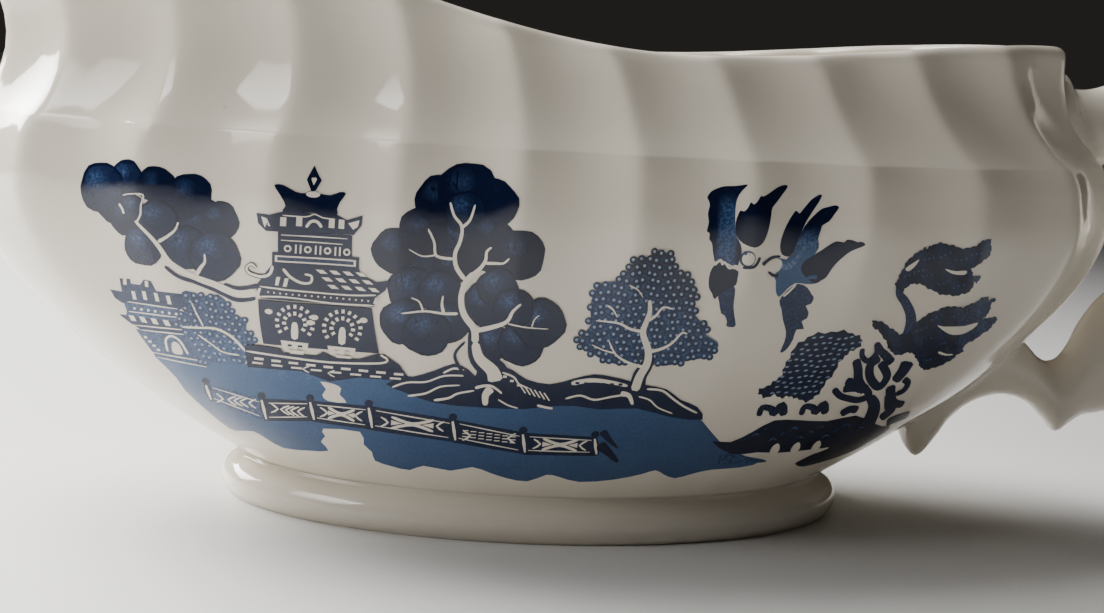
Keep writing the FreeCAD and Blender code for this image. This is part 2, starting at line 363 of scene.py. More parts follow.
def round_skin(rows, columns, pool_at=None):
    """A grid closed round its rows. rows are functions that give a point for a share of the round."""
    bm = bmesh.new()
    bmesh.ops.create_grid(bm, x_segments=columns, y_segments=len(rows) - 1, size=1.0)
    pool = bm.verts.layers.float.new("pool")
    for vert in bm.verts:
        share = (vert.co.x + 1) / 2
        row = round((vert.co.y + 1) / 2 * (len(rows) - 1))
        if pool_at:
            vert[pool] = pool_at(row, share)
        vert.co = rows[row](share % 1.0)
    bmesh.ops.remove_doubles(bm, verts=bm.verts, dist=TOUCHING)
    bmesh.ops.recalc_face_normals(bm, faces=bm.faces)
    return bm


def curve_value(a, b, c, d, t):
    """Value a share t of the way from b to c on the smooth curve through a, b, c and d."""
    bend = a - 2.5 * b + 2 * c - d / 2 + t * (1.5 * (b - c) + (d - a) / 2)
    return b + t * ((c - a) / 2 + t * bend)


def smooth_line(points, steps, closed=False):
    """Points along a smooth curve through the given points, a few steps between each pair."""
    last = len(points) - 1
    line = []
    for k in range(last + closed):
        if closed:
            around = [points[(k + i) % (last + 1)] for i in (-1, 0, 1, 2)]
        else:
            around = [points[min(last, max(0, k + i))] for i in (-1, 0, 1, 2)]
        for step in range(steps):
            line.append(tuple(curve_value(*values, step / steps) for values in zip(*around)))
    if not closed:
        line.append(tuple(points[-1]))
    return line


# ---------------------------------------------------------------- materials

CLEAR_GLAZE_IOR = 1.52
GLAZE_ROUGHNESS, ROUGHNESS_SPREAD, BISCUIT_ROUGHNESS = 0.045, 0.04, 0.6
SPECK_COLOUR = (0.16, 0.12, 0.08, 1.0)
# Specks: cells per metre, the share of cells that stay clean, and how strongly a speck shows.
SPECK_CELLS, CLEAN_SHARE, SPECK_STRENGTH = 130.0, 0.78, 0.25
# How much of the deep ivory the clouds and the pooled glaze bring in.
CLOUD_DEPTH, POOL_DEPTH = 0.22, 0.30
# How far up the wiped edge of the glaze wanders above the sole.
SOLE_WANDER = 0.0005


def add_node(tree, kind, inputs=None, **settings):
    """A shader node with its settings, and its inputs given as values or as sockets to link."""
    node = tree.nodes.new(kind)
    for name, value in settings.items():
        setattr(node, name, value)
    for name, value in (inputs or {}).items():
        if isinstance(value, bpy.types.NodeSocket):
            tree.links.new(value, node.inputs[name])
        else:
            node.inputs[name].default_value = value
    return node


def colour_mix(tree, factor, first, second):
    """The first colour turning into the second as the factor goes from 0 to 1."""
    return add_node(tree, "ShaderNodeMix", {0: factor, 6: first, 7: second}, data_type="RGBA").outputs[2]


def maths(tree, operation, *values):
    """The result of one operation on values or sockets."""
    return add_node(tree, "ShaderNodeMath", dict(enumerate(values)), operation=operation).outputs[0]


def stretch(tree, value, low, high, start=0.0, end=1.0):
    """A value between low and high stretched to lie between start and end."""
    return add_node(tree, "ShaderNodeMapRange", {
        "Value": value, "From Min": low, "From Max": high, "To Min": start, "To Max": end}).outputs["Result"]


def noise_at(tree, place, scale, detail, low=0.4, high=0.6):
    """Noise from 0 to 1 over the piece's own coordinates, stretched between low and high."""
    texture = add_node(tree, "ShaderNodeTexNoise", {"Vector": place, "Scale": scale, "Detail": detail})
    return stretch(tree, texture.outputs["Fac"], low, high)


def glaze_bump(tree, place):
    """Slow waves and a faint orange-peel in the glaze."""
    waves = noise_at(tree, place, scale=85.0, detail=1.0, low=0.2, high=0.8)
    peel = noise_at(tree, place, scale=620.0, detail=1.0, low=0.2, high=0.8)
    slow = add_node(tree, "ShaderNodeBump", {"Height": waves, "Strength": 0.35, "Distance": 0.0005})
    fine = add_node(tree, "ShaderNodeBump", {
        "Height": peel, "Strength": 0.10, "Distance": 0.0001, "Normal": slow.outputs["Normal"]})
    return fine.outputs["Normal"]


def glazed(name, paint, colours):
    """The material of that name, made once: a painted colour and roughness under the clear glaze."""
    material = bpy.data.materials.get(name)
    if material:
        return material
    material = bpy.data.materials.new(name)
    material.use_nodes = True
    tree = material.node_tree
    place = add_node(tree, "ShaderNodeTexCoord").outputs["Object"]
    colour, roughness = paint(tree, place, colours)
    shader = tree.nodes["Principled BSDF"]
    shader.inputs["IOR"].default_value = CLEAR_GLAZE_IOR
    tree.links.new(colour, shader.inputs["Base Color"])
    tree.links.new(roughness, shader.inputs["Roughness"])
    tree.links.new(glaze_bump(tree, place), shader.inputs["Normal"])
    return material


def paint_ivory(tree, place, colours):
    """Cloudy ivory, deeper where the glaze pools, with a few dark specks and a wiped sole."""
    cloud = noise_at(tree, place, scale=38.0, detail=3.0)
    pool = add_node(tree, "ShaderNodeAttribute", attribute_name="pool").outputs["Fac"]
    depth = maths(tree, "MULTIPLY", cloud, CLOUD_DEPTH)
    pooled = maths(tree, "MULTIPLY_ADD", pool, POOL_DEPTH, depth)
    colour = colour_mix(tree, pooled, tuple(colours.ivory), tuple(colours.ivory_deep))
    specks = add_node(tree, "ShaderNodeTexVoronoi", {"Vector": place, "Scale": SPECK_CELLS})
    near = stretch(tree, specks.outputs["Distance"], low=0.030, high=0.050, start=1.0, end=0.0)
    some = maths(tree, "GREATER_THAN", specks.outputs["Color"], CLEAN_SHARE)
    weak = maths(tree, "MULTIPLY", maths(tree, "MULTIPLY", near, some), SPECK_STRENGTH)
    colour = colour_mix(tree, weak, colour, SPECK_COLOUR)
    height = add_node(tree, "ShaderNodeSeparateXYZ", {0: place}).outputs["Z"]
    ragged = noise_at(tree, place, scale=400.0, detail=2.0, low=0.3, high=0.7)
    edge = maths(tree, "MULTIPLY_ADD", ragged, -SOLE_WANDER, height)
    bare = stretch(tree, edge, low=-0.0004, high=-0.0002, start=1.0, end=0.0)
    colour = colour_mix(tree, bare, colour, tuple(colours.biscuit))
    smooth = noise_at(tree, place, scale=55.0, detail=2.0)
    rough = maths(tree, "MULTIPLY_ADD", smooth, ROUGHNESS_SPREAD, GLAZE_ROUGHNESS)
    return colour, maths(tree, "MULTIPLY_ADD", bare, BISCUIT_ROUGHNESS, rough)


def paint_cobalt(tree, place, colours):
    """Cobalt ink in the tone drawn into the piece, broken up by an engraver's stipple."""
    tone = add_node(tree, "ShaderNodeAttribute", attribute_name="tone").outputs["Fac"]
    blotch = noise_at(tree, place, scale=260.0, detail=3.0, low=0.3, high=0.7)
    stipple = noise_at(tree, place, scale=2600.0, detail=1.0, low=0.44, high=0.58)
    soft = maths(tree, "MULTIPLY_ADD", blotch, 0.06, -0.03)
    opened = stretch(tree, tone, low=0.14, high=0.34, start=0.02, end=0.36)
    flooded = stretch(tree, tone, low=0.52, high=0.68, start=1.0, end=0.18)
    lit = maths(tree, "MULTIPLY_ADD", stipple, maths(tree, "MULTIPLY", opened, flooded), tone)
    total = maths(tree, "ADD", maths(tree, "SUBTRACT", lit, 0.05), soft)
    ramp = add_node(tree, "ShaderNodeValToRGB", {"Fac": total})
    stops = ramp.color_ramp.elements
    stops[0].position, stops[0].color = 0.05, tuple(colours.ink_navy)
    stops[1].position, stops[1].color = 1.0, tuple(colours.ink_pale)
    for position, colour in ((0.42, colours.ink_slate), (0.80, colours.ink_wash)):
        stops.new(position).color = tuple(colour)
    return ramp.outputs["Color"], maths(tree, "MULTIPLY_ADD", blotch, ROUGHNESS_SPREAD, GLAZE_ROUGHNESS)


def ivory_glaze(colours):
    """The glazed body's material."""
    return glazed("ivory_glaze", paint_ivory, colours)


def cobalt_print(colours):
    """The material of the print under the glaze."""
    return glazed("cobalt_print", paint_cobalt, colours)


# ---------------------------------------------------------------- pieces

# Where the inside's wall turns into its floor, and how wide that turn is.
CORNER_HEIGHT, CORNER_RADIUS = 0.0165, 0.012
# Heights and shares of the bowl's mesh rows, closer together by the foot joint and by the shoulder.
BASE_SHARES = (0.0, 0.3, 0.7, 0.92)
FOOT_JOINT_STEPS = (0.0, 0.6 * MM, 1.6 * MM)
BELLY_HEIGHTS = [z * MM for z in range(9, 57)] + [0.0569, 0.0573]
SHOULDER_SHARES = [0.0, 0.012, 0.03, 0.06]


def belly_rows(hull, inset, heights, fluting=1.0):
    """Rows of the belly at the given heights."""
    return [lambda share, z=z: hull.belly_point(z, share * hull.flutes, inset, fluting) for z in heights]


def neck_rows(hull, inset, shares, fluting=1.0):
    """Rows of the neck at the given shares of the way from the shoulder to the rim."""
    return [lambda share, s=s: hull.neck_point(s, share * hull.flutes, inset, 0.0, fluting) for s in shares]


def flat_rows(hull, half, z, shares):
    """Rows of a flat oval, from its outside to its middle."""
    def row(part):
        oval = [side * part for side in half]
        return lambda share: hull.oval_point(oval, hull.plan_angle(share * hull.flutes), 0.0, z)

    return [row(part) for part in shares]


def lip_rows(hull):
    """Rounded lip across the wall's thickness."""
    rows = []
    for angle in spaced(0.0, pi, 11)[1:-1]:
        across = hull.wall * (1 - cos(angle)) / 2
        rise = hull.lip_crown * (sin(angle) - 1)
        fluting = mix(1.0, hull.inner_fluting, across / hull.wall)
        rows.append(
            lambda share, a=across, r=rise, f=fluting: hull.neck_point(1.0, share * hull.flutes, a, r, f))
    return rows


def floor_rows(hull):
    """The inside's rounded corner and floor: the belly's inner oval drawn in towards the middle."""
    rows = []
    half = [side - hull.wall for side in hull.belly_half(CORNER_HEIGHT)]
    drop = CORNER_HEIGHT - hull.floor_height
    for angle in spaced(0.0, pi / 2, 8)[1:]:
        inset = CORNER_RADIUS * (1 - cos(angle))
        z = CORNER_HEIGHT - drop * sin(angle)
        rows.append(lambda share, i=inset, z=z: hull.oval_point(
            half, hull.plan_angle(share * hull.flutes), i, z))
    flat = [side - CORNER_RADIUS for side in half]
    return rows + flat_rows(hull, flat, hull.floor_height, (0.8, 0.5, 0.2, 0.0))


def build_bowl(hull, material):
    """The bowl: outside from the base to the rim, over the lip and down the inside to the floor."""
    base = flat_rows(hull, hull.waist, hull.foot_height, BASE_SHARES)
    low = [hull.foot_height + step for step in FOOT_JOINT_STEPS]
    outer = belly_rows(hull, 0.0, low + BELLY_HEIGHTS)
    outer += neck_rows(hull, 0.0, SHOULDER_SHARES + spaced(0.1, 0.88, 13))
    inner = neck_rows(hull, hull.wall, spaced(0.88, 0.04, 14), hull.inner_fluting)
    inner += belly_rows(hull, hull.wall, spaced(0.056, CORNER_HEIGHT, 20), hull.inner_fluting)
    rows = base + outer + lip_rows(hull) + inner + floor_rows(hull)

    def pool_at(row, share):
        return hull.hollow(share * hull.flutes) if len(base) < row else 0.0

    bm = round_skin(rows, hull.flutes * hull.columns_per_flute, pool_at)
    return finish_piece("bowl_fluted", bm, [material], ["bowl"])


def build_foot(hull, sizes, material):
    """The foot ring: a flared side, a rounded bulge, a flat sole and a sloping inside."""
    bulge, waist, inner = sizes.bulge_length, hull.waist_length, sizes.inner_length
    top = hull.foot_height
    sole = bulge - sizes.undercut
    outline = [
        (waist - 1.0 * MM, top), (waist, top), (waist + 0.3 * MM, 5.9 * MM), (waist + 1.2 * MM, 5.3 * MM),
        (bulge - 1.0 * MM, 4.6 * MM), (bulge - 0.25 * MM, 3.6 * MM), (bulge, 2.7 * MM),
        (bulge - 0.1 * MM, 1.7 * MM), (bulge - 0.5 * MM, 0.8 * MM), (bulge - 0.95 * MM, 0.2 * MM),
        (sole, 0.0), (sole - sizes.sole, 0.0), (sole - sizes.sole - 0.6 * MM, 0.4 * MM),
        (inner + 1.2 * MM, 2.8 * MM), (inner + 0.2 * MM, 5.0 * MM), (inner, top)]
    slim = sizes.bulge_length - sizes.bulge_width
    rows = []
    for length, z in smooth_line(outline, 3):
        rows.append(
            lambda share, a=length, z=z: hull.oval_point([a, a - slim], 2 * pi * share, 0.0, max(z, 0.0)))
    rows.append(rows[0])
    bm = round_skin(rows, sizes.columns)
    return finish_piece("foot_ring_turned", bm, [material], ["foot_ring"])


# Handle: outer and inner edge of the loop in the middle plane, from the neck round to the belly.
# Each line is one station in millimetres from the body's middle:
# outer x, outer z, inner x, inner z and half-width.
HANDLE_STATIONS = (
    (72.0, 69.4, 72.0, 57.2, 6.8),
    (78.0, 69.6, 78.0, 56.8, 6.8),
    (82.4, 69.4, 82.4, 56.4, 6.2),
    (85.6, 69.4, 86.2, 56.8, 5.3),
    (89.6, 70.6, 89.8, 58.0, 4.9),
    (95.4, 73.2, 93.4, 59.6, 4.8),
    (101.6, 74.6, 97.2, 60.0, 4.9),
    (107.8, 71.6, 100.4, 58.0, 5.0),
    (112.4, 65.0, 102.2, 53.6, 5.0),
    (114.4, 56.0, 102.0, 48.4, 4.9),
    (114.0, 46.5, 100.0, 43.8, 4.9),
    (111.2, 37.0, 97.0, 40.6, 4.9),
    (106.6, 28.4, 93.8, 38.0, 4.9),
    (100.8, 21.4, 90.8, 35.2, 4.9),
    (94.8, 17.4, 88.6, 31.6, 4.9),
    (90.0, 16.2, 87.4, 28.2, 4.9),
    (87.6, 14.6, 85.8, 25.8, 4.9),
    (85.8, 13.4, 83.6, 25.0, 4.9),
    (84.0, 15.2, 81.4, 26.0, 4.9),
    (80.4, 18.2, 78.8, 28.4, 4.9),
    (75.8, 19.2, 75.4, 29.8, 4.9),
    (70.8, 17.6, 71.2, 28.8, 4.8),
    (67.2, 14.4, 67.8, 26.8, 4.7),
    (65.2, 11.2, 65.4, 24.8, 4.6),
    (62.8, 8.4, 63.2, 23.0, 4.4),
    (60.6, 10.6, 61.0, 21.6, 4.2),
    (59.6, 14.0, 59.8, 20.4, 3.8),
)


def clear_of_body(hull, point):
    """How far a point lies outside the body's plain oval, roughly."""
    z = point.z
    if z > hull.shoulder_height:
        share = min(1.0, (z - hull.shoulder_height) / hull.neck_height)
        drawn = 1 - (1 - share) ** hull.neck_hollow
        half = [mix(a, b, drawn) for a, b in zip(hull.shoulder, hull.neck)]
    else:
        half = hull.belly_half(z)
    return (hypot((point.x - BODY_X) / half[0], point.y / half[1]) - 1) * half[0]


def build_handle(hull, sizes, material):
    """The handle: a loop of oval section, flared where it is luted to the body."""
    def within_wall(point):
        """Draws a point of the roots back out of the bowl's inside."""
        return point + Vector((max(0.0, -sizes.root_depth - clear_of_body(hull, point)), 0.0, 0.0))

    def root_pole(station):
        """The closing point of one root, in the middle of its end section."""
        outer_x, outer_z, _, inner_z, _ = station
        return lambda share: within_wall(Vector((BODY_X + outer_x * MM, 0.0, (outer_z + inner_z) / 2 * MM)))

    rows = [root_pole(HANDLE_STATIONS[0])]
    for outer_x, outer_z, inner_x, inner_z, width in smooth_line(HANDLE_STATIONS, sizes.rows_per_station):
        outer = Vector((BODY_X + outer_x * MM, 0.0, outer_z * MM))
        inner = Vector((BODY_X + inner_x * MM, 0.0, inner_z * MM))
        middle = (outer + inner) / 2
        reach = outer - middle
        side = Vector((0.0, width * MM, 0.0))

        def point_at(share, middle=middle, reach=reach, side=side):
            turn = 2 * pi * share
            point = middle + reach * cos(turn) + side * sin(turn)
            near = min(1.0, max(0.0, 1 - clear_of_body(hull, point) / sizes.fillet))
            return within_wall(point + (point - middle).normalized() * (sizes.fillet * near ** 2))

        rows.append(point_at)
    rows.append(root_pole(HANDLE_STATIONS[-1]))
    bm = round_skin(rows, sizes.columns)
    return finish_piece("handle_loop", bm, [material], ["handle"])


# ---------------------------------------------------------------- the print

PRINT_LIFT = 0.025 * MM
LEVEL_STEP = 0.002 * MM
# Tones of the ink from darkest to lightest. BARE is ground left free of ink, which shows the ivory glaze.
NAVY, DARK, SLATE, MIDDLE, WASH, BARE = 0.06, 0.14, 0.24, 0.46, 0.70, 0.95
# The speckles' and the berries' tone: the lightest ink.
LIGHTEST = 1.0
# A lobe of leaves: how much lighter its patch is, and the corners of its outline.
LOBE_GLOW, LOBE_CORNERS = 0.20, 22
# Width of a brush stroke's ends, as a share of the width beside them.
STROKE_END = 0.55
# The core of a mass of berries: its size within the outline, and how much lighter it is.
CORE_SIZE, CORE_GLOW = 0.94, 0.14
# Height of a row of berries, as a share of the pitch between them.
BERRY_ROW = 0.87
# Steps that find the flute which lies at an angle.
ANGLE_STEPS = 8
# Short steps, in flutes and in metres, over which the belly's slope is measured.
FLUTE_NUDGE, HEIGHT_NUDGE = 0.01, 0.1 * MM


def ribbon_sides(line, halves):
    """The left and the right side of a ribbon about a line, given its half-widths."""
    left, right = [], []
    for k, (x, z) in enumerate(line):
        before, after = line[max(0, k - 1)], line[min(len(line) - 1, k + 1)]
        run = Vector((after[0] - before[0], after[1] - before[1])).normalized()
        left.append((x - run.y * halves[k], z + run.x * halves[k]))
        right.append((x + run.y * halves[k], z - run.x * halves[k]))
    return left, right


class Sheet:
    """Shapes drawn on an upright sheet before one side of the boat and laid on its belly.

    Places are pairs in millimetres: to the right from the middle, and up from the table. Each new shape
    lies a little over the ones before it. Side 0 is the front and side 1 the back.
    """

    def __init__(self, hull, side, level=0):
        self.hull = hull
        self.side = side
        self.level = level
        self.bm = bmesh.new()
        self.tone = self.bm.verts.layers.float.new("tone")
        self.normal = self.bm.verts.layers.float_vector.new("laid_normal")

    def flute_at(self, x, z):
        """Place round the body, in flutes, of a place on the sheet."""
        hull = self.hull
        angle = 2 * pi - acos(max(-1.0, min(1.0, x * MM / hull.belly_half(z * MM)[0])))
        flute = angle * hull.flutes / (2 * pi)
        for _ in range(ANGLE_STEPS):
            turn = 2 * pi * flute / hull.flutes
            slope = 1 + 2 * hull.flute_crowd * cos(2 * turn) + 4 * hull.flute_crowd_ends * cos(4 * turn)
            flute -= (hull.plan_angle(flute) - angle) / slope * hull.flutes / (2 * pi)
        return flute - self.side * hull.flutes / 2

    def cut(self, geometry):
        """Cuts flat faces along the columns and rows of the bowl's own mesh, so that they can follow it."""
        verts = [item for item in geometry if isinstance(item, bmesh.types.BMVert)]
        columns = self.hull.columns_per_flute
        for axis, pitch in ((0, 1 / columns), (2, MM)):
            normal = Vector((axis == 0, 0, axis == 2))
            low = min(vert.co[axis] for vert in verts)
            high = max(vert.co[axis] for vert in verts)
            for k in range(floor(low / pitch) + 1, ceil(high / pitch)):
                place = normal * k * pitch
                parts = bmesh.ops.bisect_plane(
                    self.bm, geom=geometry, dist=TOUCHING, plane_co=place, plane_no=normal)
                geometry = parts["geom"]
        return geometry

    def lay(self, verts, tone):
        """Moves sheet points onto the belly and notes their tone and the surface's own normal."""
        hull = self.hull
        lift = PRINT_LIFT + self.level * LEVEL_STEP
        for vert in verts:
            flute, z = vert.co.x, vert.co.z
            around = hull.belly_point(z, flute + FLUTE_NUDGE) - hull.belly_point(z, flute - FLUTE_NUDGE)
            upward = hull.belly_point(z + HEIGHT_NUDGE, flute) - hull.belly_point(z - HEIGHT_NUDGE, flute)
            vert[self.normal] = around.cross(upward).normalized()
            vert.co = hull.belly_point(z, flute, -lift)
            x = (vert.co.x - BODY_X) / MM * (1 - 2 * self.side)
            vert[self.tone] = tone(x, z / MM) if callable(tone) else tone

    def outline(self, points, tone, rise=True):
        """A flat shape within a closed outline."""
        bm = self.bm
        verts = [bm.verts.new((self.flute_at(x, z), 0.0, z * MM)) for x, z in points]
        face = bm.faces.new(verts)
        face.normal_update()
        if face.normal.y > 0:
            face.normal_flip()
        face.material_index = int(tone == BARE)
        face.smooth = True
        faces = bmesh.ops.triangulate(bm, faces=[face])["faces"]
        edges = {edge for face in faces for edge in face.edges}
        geometry = self.cut(verts + list(edges) + faces)
        self.level += rise
        self.lay([item for item in geometry if isinstance(item, bmesh.types.BMVert)], tone)

    def shape(self, points, tone, steps=3, fray=0.0):
        """A shape with a rounded outline through a few places. One step keeps corners, fray makes barbs."""
        line = smooth_line(points, steps, closed=True) if steps > 1 else points
        if fray:
            edge = line
            line = []
            for k, (x, z) in enumerate(edge):
                run = Vector(edge[(k + 1) % len(edge)]) - Vector(edge[k - 1])
                step = fray * (k % 2 - 0.5) * (1 + sin(1.7 * k)) / run.length
                line.append((x - run.y * step, z + run.x * step))
        self.outline(line, tone)

    def disc(self, x, z, radius, tone, corners=14, tall=1.0, rise=True):
        """A round dot, or an oval one."""
        ring = [2 * pi * k / corners for k in range(corners)]
        self.outline([(x + radius * cos(a), z + radius * tall * sin(a)) for a in ring], tone, rise)

    def stroke(self, points, widths, tone=BARE, steps=4):
        """A brush stroke along a smooth line, from one width to another, with narrowed ends."""
        line = smooth_line(points, steps)
        last = len(line) - 1
        halves = [mix(widths[0], widths[1], k / last) / 2 for k in range(last + 1)]
        halves[0] *= STROKE_END
        halves[last] *= STROKE_END
        left, right = ribbon_sides(line, halves)
        self.outline(left + right[::-1], tone)

    def leaf(self, points, width, tone):
        """A pointed leaf along a curved spine."""
        line = smooth_line(points, 3)
        last = len(line) - 1
        left, right = ribbon_sides(line, [width / 2 * sin(pi * k / last) ** 0.7 for k in range(last + 1)])
        self.outline([line[0]] + left[1:-1] + [line[-1]] + right[-2:0:-1], tone)

    def lobe(self, x, z, radius, tone):
        """A round mass of leaves: outlined in navy, with a stippled lighter patch up on its left."""
        def lit(px, pz):
            away = hypot(px - x + 0.22 * radius, (pz - z - 0.34 * radius) * 1.2) / radius
            return tone + LOBE_GLOW * smoothstep(1.1 - 1.6 * away)

        for share, tint in ((1.0, 0.0), (0.89, lit)):
            ring = []
            for k in range(LOBE_CORNERS):
                angle = 2 * pi * k / LOBE_CORNERS
                reach = share * radius * (1 + 0.035 * sin(4 * angle + x) + 0.02 * sin(7 * angle + z))
                ring.append((x + reach * cos(angle), z + reach * sin(angle)))
            self.outline(ring, tint)

    def marks(self, places, width, height, slant=0.0, tone=BARE):
        """A row or field of small upright marks, all at one level."""
        self.level += 1
        w, h, s = width / 2, height / 2, slant * height / 2
        for x, z in places:
            corners = [(x - w - s, z - h), (x + w - s, z - h), (x + w + s, z + h), (x - w + s, z + h)]
            self.outline(corners, tone, rise=False)

    def balls(self, edge, pitch, tone, radius):
        """A mass of small round berries with pale middles, knobbly round a dark core."""
        centre = [sum(p[i] for p in edge) / len(edge) for i in (0, 1)]
        core = [(mix(centre[0], x, CORE_SIZE), mix(centre[1], z, CORE_SIZE)) for x, z in edge]
        self.shape(core, lambda x, z: tone(x, z) + CORE_GLOW, steps=2)
        (left, right), (low, high) = [(min(side), max(side)) for side in zip(*edge)]
        places = []
        for row in range(int((high - low) / (pitch * BERRY_ROW)) + 1):
            for column in range(int((right - left) / pitch) + 1):
                wobble = 0.16 * pitch * sin(12.9 * row + 78.2 * column)
                x = left + (column + 0.5 * (row % 2)) * pitch + wobble
                z = low + row * pitch * BERRY_ROW + 0.13 * pitch * sin(37.7 * row + 11.1 * column)
                if inside(x, z, edge):
                    places.append((x, z, (row + 2 * column) % 3))
        for third in range(3):
            self.level += 1
            for x, z, kind in places:
                if kind == third:
                    self.disc(x, z, radius, tone, corners=9, rise=False)
        self.level += 1
        for x, z, _ in places:
            self.disc(x - 0.04, z + 0.06, radius * 0.42, LIGHTEST, corners=7, rise=False)

    def finish(self, name, materials):
        """The print's piece, with the glaze surface's own normals so that its gloss runs on unbroken."""
        side = ("front", "back")[self.side]
        mesh_normals = [Vector(vert[self.normal]) for vert in self.bm.verts]
        piece = finish_piece(f"print_{name}_{side}", self.bm, materials)
        piece.data.normals_split_custom_set_from_vertices(mesh_normals)
        piece.data.attributes.remove(piece.data.attributes["laid_normal"])
        return piece


def inside(x, z, edge):
    """True if a place lies within a closed outline."""
    found = False
    for (ax, az), (bx, bz) in zip(edge, edge[1:] + edge[:1]):
        if (az > z) != (bz > z) and x < (bx - ax) * (z - az) / (bz - az) + ax:
            found = not found
    return found


def row_of(start, end, count):
    """Evenly spaced places from one to another."""
    return list(zip(spaced(start[0], end[0], count), spaced(start[1], end[1], count)))


def draw_wash(sheet):
    """The blue ground under the scene, with a scalloped lower edge and two gaps."""
    # Painted reflection: the wash is made paler towards its upper left, to stand for a whitish glare on the
    # glaze.
    def painted_glare_left(x, z):
        return WASH + 0.10 * smoothstep((z - 18) / 7) * smoothstep(-x / 40)

    sheet.shape([
        (-57.3, 25.0), (-52, 24.6), (-46, 24.9), (-40, 25.2), (-34, 25.2), (-28, 24.8), (-21, 25.4),
        (-12, 23.6), (-3, 24.2), (6, 23), (13, 22.3), (19, 21), (21.4, 19), (23.6, 16.7), (26.5, 14.6),
        (31, 12.6), (28, 11.7), (23.5, 11.5), (20.6, 10.8), (18.2, 10.1), (16.4, 10.8), (15, 11.6),
        (13, 10.9), (9, 9.9), (4, 9.4), (1, 10.2), (-0.8, 10.5), (-3.4, 9.2), (-6.5, 9.6), (-9, 10.4),
        (-11.5, 11.2), (-14.5, 10.3), (-18.4, 10.8), (-20.3, 9.8), (-23, 10.2), (-25.3, 10.9),
        (-25.8, 12.4), (-27, 13.6), (-27.6, 15.7), (-32.8, 15.6), (-32.5, 14.3), (-33.1, 13.2),
        (-32.0, 11.7), (-35, 11.2), (-38.6, 10.9), (-41, 12.1), (-43, 13.2), (-45, 12.8), (-46.8, 12.8),
        (-50, 15.6), (-53, 18.8), (-54.2, 21), (-56, 23)], painted_glare_left, steps=2)
    sheet.shape([
        (-33.3, 23.4), (-31.4, 23.2), (-30.4, 22.6), (-30.6, 21.6), (-29.6, 20.4), (-32.2, 20.4), (-33, 21.3),
        (-32.5, 22.3)], BARE, steps=2)


def draw_leaning_tree(sheet):
    """The tree at the left that leans away from the pagoda, with round masses of leaves."""
    for x, z, radius, tone in (
            (-50.6, 45.4, 3.3, DARK), (-53.4, 47.4, 2.8, NAVY), (-60.3, 50.1, 2.6, DARK),
            (-56.2, 49.6, 2.5, NAVY), (-51.7, 48.6, 2.9, NAVY), (-47.6, 45.4, 2.7, NAVY),
            (-62.2, 46.6, 3.0, NAVY), (-64.1, 48.4, 3.6, DARK), (-60.6, 44.8, 2.5, NAVY),
            (-59.3, 46.3, 1.8, DARK), (-57.9, 41.1, 2.9, DARK), (-52.3, 41.3, 3.1, DARK),
            (-48.2, 40.5, 3.6, DARK), (-56.0, 45.0, 2.6, DARK)):
        sheet.lobe(x, z, radius, tone)
    for points in (
            [(-54.8, 38.5), (-53, 37.2), (-50.4, 36.5), (-47.4, 35.5), (-45, 34.6), (-42.4, 35.1)],
            [(-46.8, 36.7), (-45.2, 36.3), (-43.6, 36.5), (-42, 37)]):
        sheet.stroke(points, (0.45, 0.65), DARK)
    for points, widths in (
            ([(-42.2, 36), (-45, 35.5), (-48, 36.5), (-51, 37.4), (-54, 39), (-55.6, 41.2), (-57, 42.8),
              (-58.9, 44.5)], (1.15, 0.35)),
            ([(-55.7, 41.9), (-54.6, 42.7), (-53.6, 43.7), (-53.2, 44.8)], (0.5, 0.2)),
            ([(-58.6, 44.4), (-58.1, 45.4), (-58.0, 46.8), (-57.8, 48.2), (-59.8, 48.1), (-60.8, 47.8)],
             (0.3, 0.12)),
            ([(-50.6, 37.7), (-50, 38.8), (-49.5, 39.6), (-49.6, 40.7)], (0.6, 0.2)),
            ([(-61.4, 46.6), (-60.9, 46.0), (-60.6, 45.3)], (0.35, 0.35))):
        sheet.stroke(points, widths)


